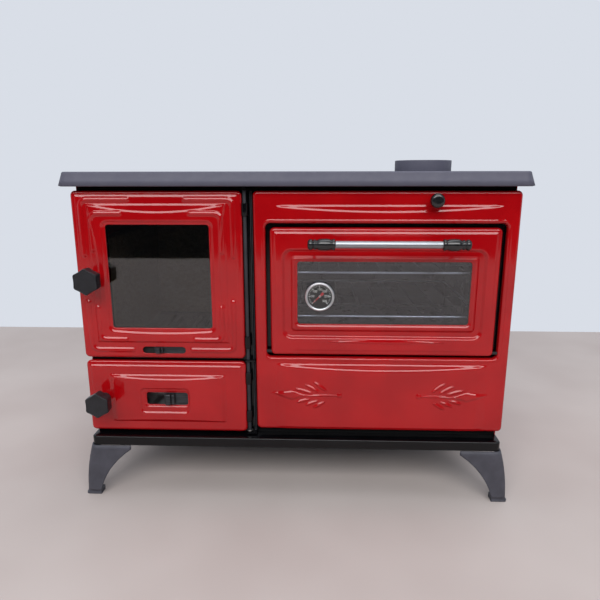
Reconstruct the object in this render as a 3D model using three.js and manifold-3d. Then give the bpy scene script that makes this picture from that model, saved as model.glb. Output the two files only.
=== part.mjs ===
// A small wood cookstove with a firebox, an ash drawer and an oven.
// Millimetres, +Z up. The front faces -Y and the origin is on the floor, under the
// middle of the stove. Pieces are first placed with Y = 0 on the front of the doors.
import * as THREE from 'three';
import { mergeVertices } from 'three/addons/utils/BufferGeometryUtils.js';
import Module from 'manifold-3d';

const wasm = await Module();
wasm.setup();

// ---------------------------------------------------------------- clearances
const SEAM = 0.3;              // between two pieces fastened face to face
const PLAY = 0.4;              // radial, round a pin, rod or spindle that turns or slides
const DOOR_PLAY = 1.3;         // between a closed door and the plate it closes against

// ---------------------------------------------------------------- hob
const HOB_SIDE = 25;           // lower edge of the flared skirt beyond the side panels
const HOB_FRONT = 16;          // in front of the doors
const HOB_REAR = 22;           // and behind the back panel
const HOB_HEIGHT = 650;
const HOB_THICKNESS = 6;
const HOB_CORNER = 14;
const SKIRT_HEIGHT = 25;
const SKIRT_FLARE = 7;
const SKIRT_WALL = 4;
const HOB_EDGE = 4;            // radius of the upper edge

const RING_RADIUS = 122;       // pot ring over the middle of the firebox
const LID_RADIUS = 78;
const REBATE_WIDTH = 8;
const REBATE_DEPTH = 3;
const LIFTER_WIDTH = 9;        // key slot in the lid
const LIFTER_LENGTH = 22;

const FLUE_RADIUS = 64;
const FLUE_WALL = 4;
const FLUE_RISE = 25;
const FLUE_INSET = 145;        // its middle from the hob's right edge
const FLUE_SETBACK = 150;      // and from the hob's back edge
const FLUE_NECK = 10;          // the part of the spigot that drops into the hob

// ---------------------------------------------------------------- body
const BODY_BACK = 428;
const BODY_SHEET = 2;
const FRONT_PLATE = 3;
const FLOOR_RISE = 12;         // floor plate above the base frame
const PARTITION_INSET = 13.3;  // right of the oven panel's left edge

// ---------------------------------------------------------------- base and legs
const BASE_SIDE = 2;           // beyond the side panels
const BASE_FRONT = 14.5;       // in front of the doors
const BASE_REAR = 8.5;         // behind the back panel
const BASE_HEIGHT = 19;
const BASE_SHEET = 2.5;
const BASE_LEDGE = 45;
const BASE_EDGE = 3;
const LEG_HEIGHT = 111;
const LEG_SWEEP = 17;          // a leg's outer side stands this far out at the toe
const LEG_SHEET = 3;
const LEG_CORNER = 9;
const LEG_TOP_SPAN = 74;       // width of a leg face where it meets the base
const LEG_TOE_SPAN = 26.5;     // width of its front above the toe
const LEG_TOE_DEPTH = 20;      // and of its side
const LEG_BROW = 8;            // depth of the straight edge under the base
const TOE_STEP = 2.2;          // each of the two steps of the toe, sideways
const TOE_LIP = 1.2;           // and to the front and back
const TOE_HEIGHT = 4.3;

// ---------------------------------------------------------------- front panels
const FRONT_SIDE = 7;          // outer edges of the panels beyond the side panels
const FRONT_DROP = 9;          // their tops below the hob's skirt
const DOOR_RISE = 6;           // ash door above the base frame
const PANEL_RISE = 14;         // oven panel above the base frame
const SHEET = 2;
const PAN_DEPTH = 16;
const PAN_EDGE = 6;            // rounded edge of the pressings
const PAN_CORNER = 9;
const DOOR_WIDTH = 319;
const DOOR_SPACING = 7;        // between the two left doors
const STRIP_WIDTH = 20.7;      // black strip between the doors and the oven panel
const ASH_DOOR_HEIGHT = 149;

const FRAME_LAP = 9;           // doors overlap the openings behind them
const LATCH_LAP = 24;          // and more on the side with the latch

// ---------------------------------------------------------------- left doors
const FIREBOX_WINDOW = 62.5;   // margin from the door's edge to its window
const WINDOW_CORNER = 5;
const GLASS = 4;
const GLASS_LAP = 7;
const RETAINER = 4;
const RETAINER_LAP = 15;
const LINER = 1.5;
const SEAL = 4;                // width of the rope seals
const SEAL_MARGIN = 0.5;       // from the opening's edge to the rope
const SEAL_PLAY = 0.7;         // from the rope to the plate it closes against
const SLOT_WIDTH = 85;
const SLOT_HEIGHT = 13.6;
const SLOT_RISE = 17;          // centre of the slot above the door's lower edge
const SLIDER_PLATE = 1.5;
const SLIDER_LENGTH = 67;
const SLIDER_LAP = 4;
const SLIDER_TAB = 15;
const SLIDER_SHIFT = -8;       // tab left of the slot's middle
const TAB_REACH = 6;
const ASH_SLOT_WIDTH = 83;
const ASH_SLOT_HEIGHT = 25.6;
const ASH_SLOT_DROP = 4;
const ASH_TAB = 19;
const ASH_TAB_SHIFT = 7;

const RIB_WIDTH = 10;
const RIB_RISE = 2;
const OUTER_RIB = 17;          // inset of the outer corner ribs
const INNER_RIB = 39;
const OUTER_RIB_LENGTH = 90;
const INNER_RIB_LENGTH = 58;
const CRESCENT_THICKNESS = 14;

const KNOB_INSET = 36;         // spindle from the door's left edge
const KNOB_FLATS = 45;
const KNOB_DEPTH = 23;
const KNOB_REACH = 48;         // front of the knob before the door
const KNOB_STEM = 9;
const KNOB_CORNER = 4;
const KNOB_HOLLOW = 1.2;       // how far each flat is drawn in
const KNOB_LIP = 1.5;          // bevel of both faces
const SPINDLE = 4;
const LATCH_THICKNESS = 5;
const LATCH_WIDTH = 14;
const LATCH_LENGTH = 22;
const LATCH_PLAY = 1;          // from the front plate to the tongue behind it

const HINGE_ROD = 3.5;
const KNUCKLE = 6.5;
const KNUCKLE_LENGTH = 24;
const KNUCKLE_INSET = 22;      // from the door's upper and lower edge
const HINGE_Y = 8;
const HINGE_GAP = 5;           // from the doors' right edge to the hinge axis
const BRACKET_THICKNESS = 3;

// ---------------------------------------------------------------- firebox
const FIREBOX_DROP = 8;        // firebox floor below the firebox door's lower edge
const BRICK = 30;
const BRICK_HEIGHT = 236;
const FIREBOX_FRONT = 34;      // bricks and ash pan start behind the latches
const GRATE_WIDTH = 210;
const GRATE_DEPTH = 260;
const GRATE_THICKNESS = 10;
const GRATE_LAP = 10;
const GRATE_BARS = 8;
const ASH_PAN_DEPTH = 300;
const ASH_PAN_HEIGHT = 70;
const ASH_PAN_SHEET = 1.5;
const ASH_PAN_PLAY = 12;

// ---------------------------------------------------------------- oven
const OVEN_RAIL = 22.15;       // red panel at each side of its opening
const OPENING_DROP = 59;       // from the panel's top
const OVEN_DOOR_WIDTH = 428;
const OVEN_DOOR_HEIGHT = 247;
const OVEN_DOOR_RISE = 5;      // above the opening's lower edge
const OVEN_DOOR_SIDE = 8;      // clear of its sides and upper edge
const OVEN_DOOR_DEPTH = 14;
const OVEN_WINDOW_WIDTH = 324;
const OVEN_WINDOW_HEIGHT = 120;
const OVEN_LAP = 8;            // door over the oven's mouth
const OVEN_SETBACK = 25.4;     // back of the oven box before the back panel
const OVEN_SHEET = 2;
const RACK_WIRE = 3;
const RACK_WIRES = 9;
const RACK_HEIGHTS = [61, 148];
const RACK_SETBACK = 8;
const RUNNER = 9;
const OVEN_HINGE_RISE = 6;     // hinge axis above the door's lower edge
const OVEN_HINGE_Y = 7;
const OVEN_HINGE_PIN = 3;
const OVEN_PIN_REACH = 5;

const HANDLE_REACH = 52;
const HANDLE_DROP = 24;        // below the door's top
const HANDLE_BAR = 6.5;
const HANDLE_LENGTH = 285;
const GRIP_LENGTH = 49;
const GRIP_RADIUS = 10.5;
const GRIP_NECK = 7.7;
const POST_RADIUS = 3.5;

const DIAL_CASE = 27.7;        // radius of the thermometer's bezel
const DIAL_INSET = 42;         // centre from the window's left edge
const DIAL_DROP = 5;
const DIAL_DEPTH = 9;
const DIAL_RIM = 4;
const DIAL_STEM = 4.5;
const DIAL_LENS = 1.2;
const DIAL_SHEET = 1.2;        // the printed disc
const DIAL_BEVEL = 1.5;        // slope of the bezel's outer edge
const NEEDLE_LENGTH = 17;
const NEEDLE_TAIL = 8;
const NEEDLE_ROOT = 1;         // half widths of the tail's end and of the tip
const NEEDLE_TIP = 0.4;
const NEEDLE_SHEET = 0.8;
const NEEDLE_HUB = 3;
const HUB_HEIGHT = 2;

const DAMPER_SHIFT = 30;       // rod left of the flue's middle
const DAMPER_DROP = 17;        // and below the oven panel's top
const DAMPER_KNOB = 13;
const DAMPER_REACH = 24;
const DAMPER_ROD = 4;
const DAMPER_PLATE_WIDTH = 132;
const DAMPER_PLATE_DEPTH = 136;
const DAMPER_SHEET = 3;
const DAMPER_SINK = 4;         // damper plate below the flue's neck

// ---------------------------------------------------------------- shared places
const OPENING_WIDTH = OVEN_DOOR_WIDTH + 2 * OVEN_DOOR_SIDE;
const OPENING_HEIGHT = OVEN_DOOR_RISE + OVEN_DOOR_HEIGHT + OVEN_DOOR_SIDE;
const FRONT_WIDTH = DOOR_WIDTH + STRIP_WIDTH + OPENING_WIDTH + 2 * OVEN_RAIL;
const BODY_WIDTH = FRONT_WIDTH - 2 * FRONT_SIDE;
const HOB_WIDTH = BODY_WIDTH + 2 * HOB_SIDE;
const HOB_BACK = BODY_BACK + HOB_REAR;
const BASE_WIDTH = BODY_WIDTH + 2 * BASE_SIDE;
const BASE_BACK = BODY_BACK + BASE_REAR;
const FRONT_TOP = HOB_HEIGHT - SKIRT_HEIGHT - FRONT_DROP;
const FLUE_X = HOB_WIDTH / 2 - FLUE_INSET;
const FLUE_Y = HOB_BACK - FLUE_SETBACK;
const DAMPER_X = FLUE_X - DAMPER_SHIFT;
const DAMPER_Z = FRONT_TOP - DAMPER_DROP;
const BASE_TOP = LEG_HEIGHT + BASE_HEIGHT;
const FLOOR_TOP = BASE_TOP + FLOOR_RISE + BODY_SHEET;
const HOB_UNDER = HOB_HEIGHT - HOB_THICKNESS;
const WALL = BODY_WIDTH / 2 - BODY_SHEET;           // inside of the side panels
const BACK_WALL = BODY_BACK - BODY_SHEET;
const PLATE_Y = PAN_DEPTH + DOOR_PLAY;              // front of the front plate
const PLATE_BACK = PLATE_Y + FRONT_PLATE;
const DOOR_X0 = -FRONT_WIDTH / 2;
const DOOR_X1 = DOOR_X0 + DOOR_WIDTH;
const OVEN_X0 = DOOR_X1 + STRIP_WIDTH;
const OVEN_X1 = FRONT_WIDTH / 2;
const OVEN_MID = (OVEN_X0 + OVEN_X1) / 2;
const HINGE_X = DOOR_X1 + HINGE_GAP;
const KNOB_X = DOOR_X0 + KNOB_INSET;
const HANDLE_Y = -HANDLE_REACH;
const PARTITION_X = OVEN_X0 + PARTITION_INSET;

const ashFoot = BASE_TOP + DOOR_RISE;
const ash = rect(DOOR_X0, DOOR_X1, ashFoot, ashFoot + ASH_DOOR_HEIGHT, PAN_CORNER);
const firebox = rect(DOOR_X0, DOOR_X1, ash.z1 + DOOR_SPACING, FRONT_TOP, PAN_CORNER);
const ovenPanel = rect(OVEN_X0, OVEN_X1, BASE_TOP + PANEL_RISE, FRONT_TOP, PAN_CORNER);
const opening = centred(OVEN_MID, FRONT_TOP - OPENING_DROP - OPENING_HEIGHT / 2,
  OPENING_WIDTH, OPENING_HEIGHT, PAN_CORNER);
const ovenDoor = centred(OVEN_MID, opening.z0 + OVEN_DOOR_RISE + OVEN_DOOR_HEIGHT / 2,
  OVEN_DOOR_WIDTH, OVEN_DOOR_HEIGHT, PAN_CORNER);
const mouth = grown(ovenDoor, -OVEN_LAP);
const ovenWindow = centred(OVEN_MID, (ovenDoor.z0 + ovenDoor.z1) / 2,
  OVEN_WINDOW_WIDTH, OVEN_WINDOW_HEIGHT, WINDOW_CORNER);
const fireWindow = { ...grown(firebox, -FIREBOX_WINDOW), r: WINDOW_CORNER };
const inWall = WALL - SEAM;
const fireRight = PARTITION_X - BODY_SHEET / 2 - SEAM;
const fireMid = (fireRight - inWall) / 2;
const grateY = (FIREBOX_FRONT + BACK_WALL - BRICK) / 2;
const ovenFrontY = PLATE_BACK + SEAM;
const OVEN_DEPTH = BACK_WALL - OVEN_SETBACK - ovenFrontY;

// ---------------------------------------------------------------- finishes
const finish = (color, roughness, metalness) =>
  new THREE.MeshStandardMaterial({ color, roughness, metalness });
const redEnamel = finish(0xa5141a, 0.25, 0.0);
const blackEnamel = finish(0x141416, 0.25, 0.0);
const greyPaint = finish(0x55565e, 0.6, 0.1);
const darkPaint = finish(0x2a2b2f, 0.6, 0.1);
const castIron = finish(0x303034, 0.7, 0.4);
const steel = finish(0x8d9094, 0.4, 0.9);
const chrome = finish(0xd8dadd, 0.1, 1.0);
const bakelite = finish(0x17171a, 0.35, 0.0);
const ceramicGlass = finish(0x1b1713, 0.08, 0.0);
const firebrick = finish(0xc8ae84, 0.9, 0.0);
const ropeGrey = finish(0x8f8b82, 0.95, 0.0);
const needleRed = finish(0xc0201c, 0.5, 0.0);

// ---------------------------------------------------------------- solids
const stove = new THREE.Group();
const segments = 24;           // sides of a round bar, and of larger rounds
const roundSides = 36;

/** A rounded rectangle on the front, in X and Z. */
function rect(x0, x1, z0, z1, r = 1) {
  return { x0, x1, z0, z1, r };
}

/** The same by its middle and size. */
function centred(x, z, width, height, r = 1) {
  return rect(x - width / 2, x + width / 2, z - height / 2, z + height / 2, r);
}

/** A rectangle grown on all sides; a negative amount draws it in. */
function grown({ x0, x1, z0, z1, r }, by) {
  return rect(x0 - by, x1 + by, z0 - by, z1 + by, Math.max(r + by, 0.8));
}

/** A closed body through rounded rectangles [rectangle, height], from the lowest up. */
function stack(levels, steps = 3) {
  const loops = levels.map(([{ x0, x1, z0, z1, r }, height]) => {
    const corners = [[x1 - r, z1 - r], [x0 + r, z1 - r], [x0 + r, z0 + r], [x1 - r, z0 + r]];
    return corners.flatMap(([x, z], quarter) => Array.from({ length: steps + 1 }, (_, i) => {
      const angle = (quarter + i / steps) * Math.PI / 2;
      return [x + r * Math.cos(angle), z + r * Math.sin(angle), height];
    }));
  });
  const count = loops[0].length;
  const top = (loops.length - 1) * count;
  const index = [];
  for (let level = 0; level < top; level += count) {
    for (let i = 0; i < count; i += 1) {
      const a = level + i;
      const b = level + (i + 1) % count;
      index.push(a, b, b + count, a, b + count, a + count);
    }
  }
  for (let i = 1; i < count - 1; i += 1) {
    index.push(0, i + 1, i, top, top + i, top + i + 1);
  }
  const geometry = new THREE.BufferGeometry();
  geometry.setAttribute('position', new THREE.Float32BufferAttribute(loops.flat(2), 3));
  geometry.setIndex(index);
  return geometry;
}

/** Turns a body drawn in X and Z with its top forward, so heights become -Y. */
const forward = (geometry) => geometry.rotateX(Math.PI / 2);

/** A slab standing behind `front`: a rounded rectangle from y = front to y = back. */
const slab = (area, front, back) => forward(stack([[area, -back], [area, -front]]));

/** A slab whose front edge is rounded, from y = front to y = back. */
function pressing(area, front, back, round, steps = 3) {
  const levels = [[area, -back]];
  for (let i = 0; i <= steps; i += 1) {
    const angle = (i / steps) * Math.PI / 2;
    const inset = round * (1 - Math.cos(angle));
    levels.push([grown(area, -inset), round * (Math.sin(angle) - 1) - front]);
  }
  return forward(stack(levels));
}

function block(x0, x1, y0, y1, z0, z1) {
  return new THREE.BoxGeometry(x1 - x0, y1 - y0, z1 - z0)
    .translate((x0 + x1) / 2, (y0 + y1) / 2, (z0 + z1) / 2);
}

/** A round bar about an axis: from and to are along it, a and b place it across. */
function bar(axis, radius, from, to, a, b, sides = segments) {
  const body = new THREE.CylinderGeometry(radius, radius, to - from, sides);
  const middle = (from + to) / 2;
  if (axis === 'x') return body.rotateZ(Math.PI / 2).translate(middle, a, b);
  if (axis === 'y') return body.translate(a, middle, b);
  return body.rotateX(Math.PI / 2).translate(a, b, middle);
}

/** A body of revolution about Z from [radius, height] points, counter-clockwise. */
const turned = (points, sides = roundSides) =>
  new THREE.LatheGeometry(points.map(([r, z]) => new THREE.Vector2(r, z)), sides)
    .rotateX(Math.PI / 2);

function solid(geometry) {
  const plain = geometry.clone();
  plain.deleteAttribute('normal');
  plain.deleteAttribute('uv');
  const merged = mergeVertices(plain, 1e-4);
  return new wasm.Manifold(new wasm.Mesh({
    numProp: 3,
    vertProperties: merged.attributes.position.array,
    triVerts: new Uint32Array(merged.index.array),
  }));
}

const joined = (...pieces) => pieces.map(solid).reduce((a, b) => a.add(b));
const cut = (body, ...tools) => tools.reduce((rest, tool) => rest.subtract(solid(tool)), body);

function geometryOf(manifold) {
  const { vertProperties, triVerts } = manifold.getMesh();
  const geometry = new THREE.BufferGeometry();
  geometry.setAttribute('position', new THREE.BufferAttribute(vertProperties, 3));
  geometry.setIndex(new THREE.BufferAttribute(triVerts, 1));
  geometry.computeVertexNormals();
  return geometry;
}

function add(name, shape, material) {
  const geometry = shape.isBufferGeometry ? shape : geometryOf(shape);
  const mesh = new THREE.Mesh(geometry, material);
  mesh.name = name;
  stove.add(mesh);
}

// ---------------------------------------------------------------- hob plate, ring, lid
/** The plan of the hob drawn in by `inset`, as a rectangle whose z is the stove's y. */
const hobPlan = (inset) => grown(rect(-HOB_WIDTH / 2, HOB_WIDTH / 2, -HOB_FRONT, HOB_BACK,
  HOB_CORNER), -inset);

function hobPlate() {
  const skirtFoot = HOB_HEIGHT - SKIRT_HEIGHT;
  const shoulder = HOB_HEIGHT - HOB_EDGE;
  const outside = stack([
    [hobPlan(0), skirtFoot],
    [hobPlan(SKIRT_FLARE), shoulder],
    [hobPlan(SKIRT_FLARE + HOB_EDGE * 0.3), shoulder + HOB_EDGE * 0.7],
    [hobPlan(SKIRT_FLARE + HOB_EDGE), HOB_HEIGHT],
  ]);
  const inside = stack([
    [hobPlan(SKIRT_WALL - SKIRT_FLARE / SKIRT_HEIGHT), skirtFoot - 1],
    [hobPlan(SKIRT_WALL + SKIRT_FLARE), HOB_UNDER],
  ]);
  const seat = RING_RADIUS - REBATE_WIDTH;
  const ringHole = bar('z', seat, HOB_UNDER - 1, HOB_HEIGHT + 1, fireMid, grateY, roundSides);
  const rebate = bar('z', RING_RADIUS, HOB_HEIGHT - REBATE_DEPTH, HOB_HEIGHT + 1,
    fireMid, grateY, roundSides);
  const flueHole = bar('z', FLUE_RADIUS - FLUE_WALL, HOB_UNDER - 1, HOB_HEIGHT + 1,
    FLUE_X, FLUE_Y, roundSides);
  return cut(solid(outside), inside, ringHole, rebate, flueHole);
}

/** A flat disc with a lip that hangs in a rebate of its radius. */
function lipped(radius, hole) {
  const lipFoot = HOB_HEIGHT - REBATE_DEPTH + SEAM;
  const neck = radius - REBATE_WIDTH - PLAY;
  const outer = [[neck, HOB_UNDER], [neck, lipFoot], [radius - PLAY, lipFoot],
    [radius - PLAY, HOB_HEIGHT]];
  if (!hole) return [[0, HOB_UNDER], ...outer, [0, HOB_HEIGHT]];
  const rebateFloor = HOB_HEIGHT - REBATE_DEPTH;
  const bore = hole - REBATE_WIDTH;
  return [[bore, HOB_UNDER], ...outer, [hole, HOB_HEIGHT], [hole, rebateFloor],
    [bore, rebateFloor], [bore, HOB_UNDER]];
}

add('hob_plate', hobPlate(), greyPaint);
add('hob_ring', turned(lipped(RING_RADIUS, LID_RADIUS)).translate(fireMid, grateY, 0), castIron);
add('hob_lid', cut(
  solid(turned(lipped(LID_RADIUS, 0)).translate(fireMid, grateY, 0)),
  block(fireMid - LIFTER_LENGTH / 2, fireMid + LIFTER_LENGTH / 2,
    grateY - LID_RADIUS * 0.6 - LIFTER_WIDTH / 2, grateY - LID_RADIUS * 0.6 + LIFTER_WIDTH / 2,
    HOB_HEIGHT - REBATE_DEPTH, HOB_HEIGHT + 1),
), castIron);

// ---------------------------------------------------------------- flue spigot
const neckRadius = FLUE_RADIUS - FLUE_WALL - PLAY;
add('flue_collar', turned([
  [neckRadius - FLUE_WALL, HOB_HEIGHT - FLUE_NECK],
  [neckRadius, HOB_HEIGHT - FLUE_NECK],
  [neckRadius, HOB_HEIGHT + SEAM],
  [FLUE_RADIUS, HOB_HEIGHT + SEAM],
  [FLUE_RADIUS, HOB_HEIGHT + FLUE_RISE],
  [FLUE_RADIUS - FLUE_WALL, HOB_HEIGHT + FLUE_RISE],
  [FLUE_RADIUS - FLUE_WALL, HOB_HEIGHT + FLUE_WALL],
  [neckRadius - FLUE_WALL, HOB_HEIGHT],
  [neckRadius - FLUE_WALL, HOB_HEIGHT - FLUE_NECK],
]).translate(FLUE_X, FLUE_Y, 0), greyPaint);

// ---------------------------------------------------------------- body walls
const wallFoot = BASE_TOP + SEAM;
const wallTop = HOB_UNDER - SEAM;
for (const [side, name] of [[-1, 'side_panel_left'], [1, 'side_panel_right']]) {
  const inner = side * WALL;
  const outer = side * (BODY_WIDTH / 2);
  add(name, block(Math.min(inner, outer), Math.max(inner, outer), PLATE_Y, BODY_BACK,
    wallFoot, wallTop), redEnamel);
}
add('back_panel', block(-inWall, inWall, BACK_WALL, BODY_BACK, wallFoot, wallTop), blackEnamel);
add('floor_plate', block(-inWall, inWall, PLATE_BACK + SEAM, BACK_WALL - SEAM,
  FLOOR_TOP - BODY_SHEET, FLOOR_TOP), darkPaint);
add('partition', block(PARTITION_X - BODY_SHEET / 2, PARTITION_X + BODY_SHEET / 2,
  PLATE_BACK + SEAM, BACK_WALL - SEAM, FLOOR_TOP + SEAM, mouth.z1), darkPaint);

// ---------------------------------------------------------------- front plate
/** The hole behind a left door: wider towards the latch than on the other sides. */
const doorway = (door, foot) =>
  rect(door.x0 + LATCH_LAP, door.x1 - FRAME_LAP, foot, door.z1 - FRAME_LAP, WINDOW_CORNER);
const fireDoorway = doorway(firebox, firebox.z0 + FRAME_LAP);
const ashDoorway = doorway(ash, FLOOR_TOP);
const through = (area) => slab(area, PLATE_Y - 1, PLATE_BACK + 1);
add('front_plate', cut(
  solid(block(-inWall, inWall, PLATE_Y, PLATE_BACK, wallFoot, wallTop)),
  through(fireDoorway), through(ashDoorway), through(mouth),
  bar('y', DAMPER_ROD + PLAY, PLATE_Y - 1, PLATE_BACK + 1, DAMPER_X, DAMPER_Z),
), blackEnamel);

// ---------------------------------------------------------------- base frame and legs
/** The plan of the base drawn in by `inset`, as a rectangle whose z is the stove's y. */
const basePlan = (inset) => grown(rect(-BASE_WIDTH / 2, BASE_WIDTH / 2, -BASE_FRONT, BASE_BACK,
  LEG_CORNER), -inset);
const baseOutside = stack([
  [basePlan(0), LEG_HEIGHT], [basePlan(0), BASE_TOP - BASE_EDGE],
  [basePlan(BASE_EDGE * 0.3), BASE_TOP - BASE_EDGE * 0.3], [basePlan(BASE_EDGE), BASE_TOP],
]);
const baseInside = stack([
  [basePlan(BASE_SHEET), LEG_HEIGHT - 1], [basePlan(BASE_SHEET), BASE_TOP - BASE_SHEET],
]);
const baseHole = stack([
  [basePlan(BASE_LEDGE), LEG_HEIGHT - 1], [basePlan(BASE_LEDGE), BASE_TOP + 1],
]);
add('base_frame', cut(solid(baseOutside), baseInside, baseHole), blackEnamel);

/** The space between two legs: straight brows under the base, then hollow curves to the toes. */
function archShape(brow, foot, height) {
  const shape = new THREE.Shape();
  shape.moveTo(-foot, -1);
  shape.lineTo(-foot, 2 * TOE_HEIGHT);
  shape.quadraticCurveTo(-foot + TOE_STEP, height * 0.6, -brow, height - LEG_BROW);
  shape.lineTo(-brow, height + 1);
  shape.lineTo(brow, height + 1);
  shape.lineTo(brow, height - LEG_BROW);
  shape.quadraticCurveTo(foot - TOE_STEP, height * 0.6, foot, 2 * TOE_HEIGHT);
  shape.lineTo(foot, -1);
  return shape;
}

const baseDepth = BASE_FRONT + BASE_BACK;
const baseMiddle = (BASE_BACK - BASE_FRONT) / 2;
const legTop = LEG_HEIGHT - SEAM;
const archLength = (half) => 2 * (half + LEG_SWEEP + 2 * TOE_STEP + 1);
/** The prism that passes under the stove between its legs, along Y and along X. */
const archAlongY = new THREE.ExtrudeGeometry(archShape(BASE_WIDTH / 2 - LEG_TOP_SPAN,
  BASE_WIDTH / 2 + LEG_SWEEP - LEG_TOE_SPAN, legTop),
  { depth: archLength(baseDepth / 2), bevelEnabled: false, curveSegments: 7 })
  .rotateX(Math.PI / 2).translate(0, baseMiddle + archLength(baseDepth / 2) / 2, 0);
const archAlongX = new THREE.ExtrudeGeometry(archShape(baseDepth / 2 - LEG_TOP_SPAN,
  baseDepth / 2 - LEG_TOE_DEPTH, legTop),
  { depth: archLength(BASE_WIDTH / 2), bevelEnabled: false, curveSegments: 7 })
  .rotateX(Math.PI / 2).rotateZ(Math.PI / 2)
  .translate(-archLength(BASE_WIDTH / 2) / 2, baseMiddle, 0);

/** The plan of the legs, `out` wider than the base on each side and `lip` deeper. */
const legPlan = (inset, out, lip = 0) => grown(rect(-BASE_WIDTH / 2 - out, BASE_WIDTH / 2 + out,
  -BASE_FRONT - lip, BASE_BACK + lip, LEG_CORNER), -inset);
/** The legs sweep out sideways, fastest under the base. */
const legLevels = (inset) => [0, 0.25, 0.5, 0.75, 1].map((share) =>
  [legPlan(inset, LEG_SWEEP * (1 - share ** 2)), share * legTop]);
const legOutside = solid(stack(legLevels(0)));
const legInside = solid(stack(legLevels(LEG_SHEET).map(([plan, height], i) =>
  [plan, i === 0 ? -1 : height + (i === 4 ? 1 : 0)])));
const toeOf = (steps, top) => solid(stack([0, top].map((height) =>
  [legPlan(0, LEG_SWEEP + steps * TOE_STEP, steps * TOE_LIP), height])));
const legShell = legOutside.subtract(legInside)
  .add(toeOf(2, TOE_HEIGHT)).add(toeOf(1, 2 * TOE_HEIGHT));
const legs = cut(legShell, archAlongY, archAlongX);
const reach = BASE_WIDTH;
for (const [sideX, sideY, name] of [
  [-1, -1, 'leg_front_left'], [1, -1, 'leg_front_right'],
  [-1, 1, 'leg_back_left'], [1, 1, 'leg_back_right'],
]) {
  const quarter = block(Math.min(0, sideX * reach), Math.max(0, sideX * reach),
    baseMiddle + Math.min(0, sideY * reach), baseMiddle + Math.max(0, sideY * reach), -1, reach);
  add(name, legs.intersect(solid(quarter)), greyPaint);
}

// ---------------------------------------------------------------- pressed panels
/** A sheet pressed into a shallow pan that is open at the back. */
const pan = (area, depth) => cut(solid(pressing(area, 0, depth, PAN_EDGE)),
  pressing(grown(area, -SHEET), SHEET, depth + 1, PAN_EDGE - SHEET));

const windowHole = (area) => slab(area, -RIB_RISE - 1, SHEET + 1);
const spindleHole = (x, z) => bar('y', SPINDLE + PLAY, -1, PAN_DEPTH, x, z);

/** A corner rib: an L along two edges of `area`, pressed up from the sheet. */
function cornerRib(area, sideX, sideZ, length) {
  const x = sideX < 0 ? area.x0 : area.x1;
  const z = sideZ < 0 ? area.z0 : area.z1;
  const corner = [[0, 0], [length, 0], [length, RIB_WIDTH], [RIB_WIDTH, RIB_WIDTH],
    [RIB_WIDTH, length], [0, length]];
  const shape = new THREE.Shape(corner.map(([u, v]) =>
    new THREE.Vector2(x - sideX * u, z - sideZ * v)));
  return new THREE.ExtrudeGeometry(shape, { depth: RIB_RISE + SHEET / 2, bevelEnabled: false })
    .rotateX(Math.PI / 2).translate(0, SHEET / 2, 0);
}

/** A lens-shaped ridge, `length` long and thickest in its middle. */
function crescent(x, z, length, thickness) {
  const shape = new THREE.Shape();
  shape.moveTo(-length / 2, 0);
  shape.quadraticCurveTo(0, -thickness, length / 2, 0);
  shape.quadraticCurveTo(0, thickness, -length / 2, 0);
  const ridge = new THREE.ExtrudeGeometry(shape,
    { depth: RIB_RISE + SHEET / 2, bevelEnabled: false, curveSegments: 6 });
  return ridge.rotateX(Math.PI / 2).translate(x, SHEET / 2, z);
}

/** A hinge knuckle on the rod beside the doors, from height z0 to z1. */
const knuckle = (z0, z1) => bar('z', KNUCKLE, z0, z1, HINGE_X, HINGE_Y);
const hingeBore = (z0, z1) => bar('z', HINGE_ROD + PLAY, z0 - 1, z1 + 1, HINGE_X, HINGE_Y);

/** One of the left doors: pan, ribs, two knuckles, and the holes it is given. */
function hungDoor(area, ridges, holes) {
  const knuckles = [area.z0 + KNUCKLE_INSET, area.z1 - KNUCKLE_INSET - KNUCKLE_LENGTH]
    .map((foot) => knuckle(foot, foot + KNUCKLE_LENGTH));
  const body = [...ridges, ...knuckles].reduce((rest, piece) => rest.add(solid(piece)),
    pan(area, PAN_DEPTH));
  const knobZ = (area.z0 + area.z1) / 2;
  return cut(body, hingeBore(area.z0, area.z1), spindleHole(KNOB_X, knobZ), ...holes);
}

// ---------------------------------------------------------------- firebox door
const sides = [[-1, -1], [-1, 1], [1, -1], [1, 1]];
const doorMid = (DOOR_X0 + DOOR_X1) / 2;
const slot = centred(doorMid, firebox.z0 + SLOT_RISE, SLOT_WIDTH, SLOT_HEIGHT,
  SLOT_HEIGHT / 2 - SEAM);
const fireRidges = sides.flatMap(([sideX, sideZ]) => [
  cornerRib(grown(firebox, -OUTER_RIB + RIB_WIDTH / 2), sideX, sideZ, OUTER_RIB_LENGTH),
  cornerRib(grown(firebox, -INNER_RIB + RIB_WIDTH / 2), sideX, sideZ, INNER_RIB_LENGTH),
]);
const crescentLength = DOOR_WIDTH - 2 * INNER_RIB;
fireRidges.push(crescent(doorMid, firebox.z1 - (OUTER_RIB + INNER_RIB) / 2 - RIB_WIDTH / 3,
  crescentLength, CRESCENT_THICKNESS * 0.7));
fireRidges.push(crescent(doorMid, firebox.z0 + (INNER_RIB + FIREBOX_WINDOW) / 2,
  crescentLength * 0.9, CRESCENT_THICKNESS * 0.5));
add('firebox_door_panel', hungDoor(firebox, fireRidges,
  [windowHole(fireWindow), windowHole(slot)]), redEnamel);

const glassFront = SHEET + SEAM;
const retainerFront = glassFront + GLASS + SEAM;
const linerFront = retainerFront + RETAINER + SEAM;
const sealFront = linerFront + LINER + SEAM;

/** The sheet between two planes with `hole` cut through it. */
const framed = (area, hole, front, back) => cut(solid(slab(area, front, back)),
  slab(hole, front - 1, back + 1));

const glassPane = (window) => slab(grown(window, GLASS_LAP), glassFront, glassFront + GLASS);
const glassRetainer = (window) => framed(grown(window, RETAINER_LAP), window,
  retainerFront, retainerFront + RETAINER);
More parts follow.
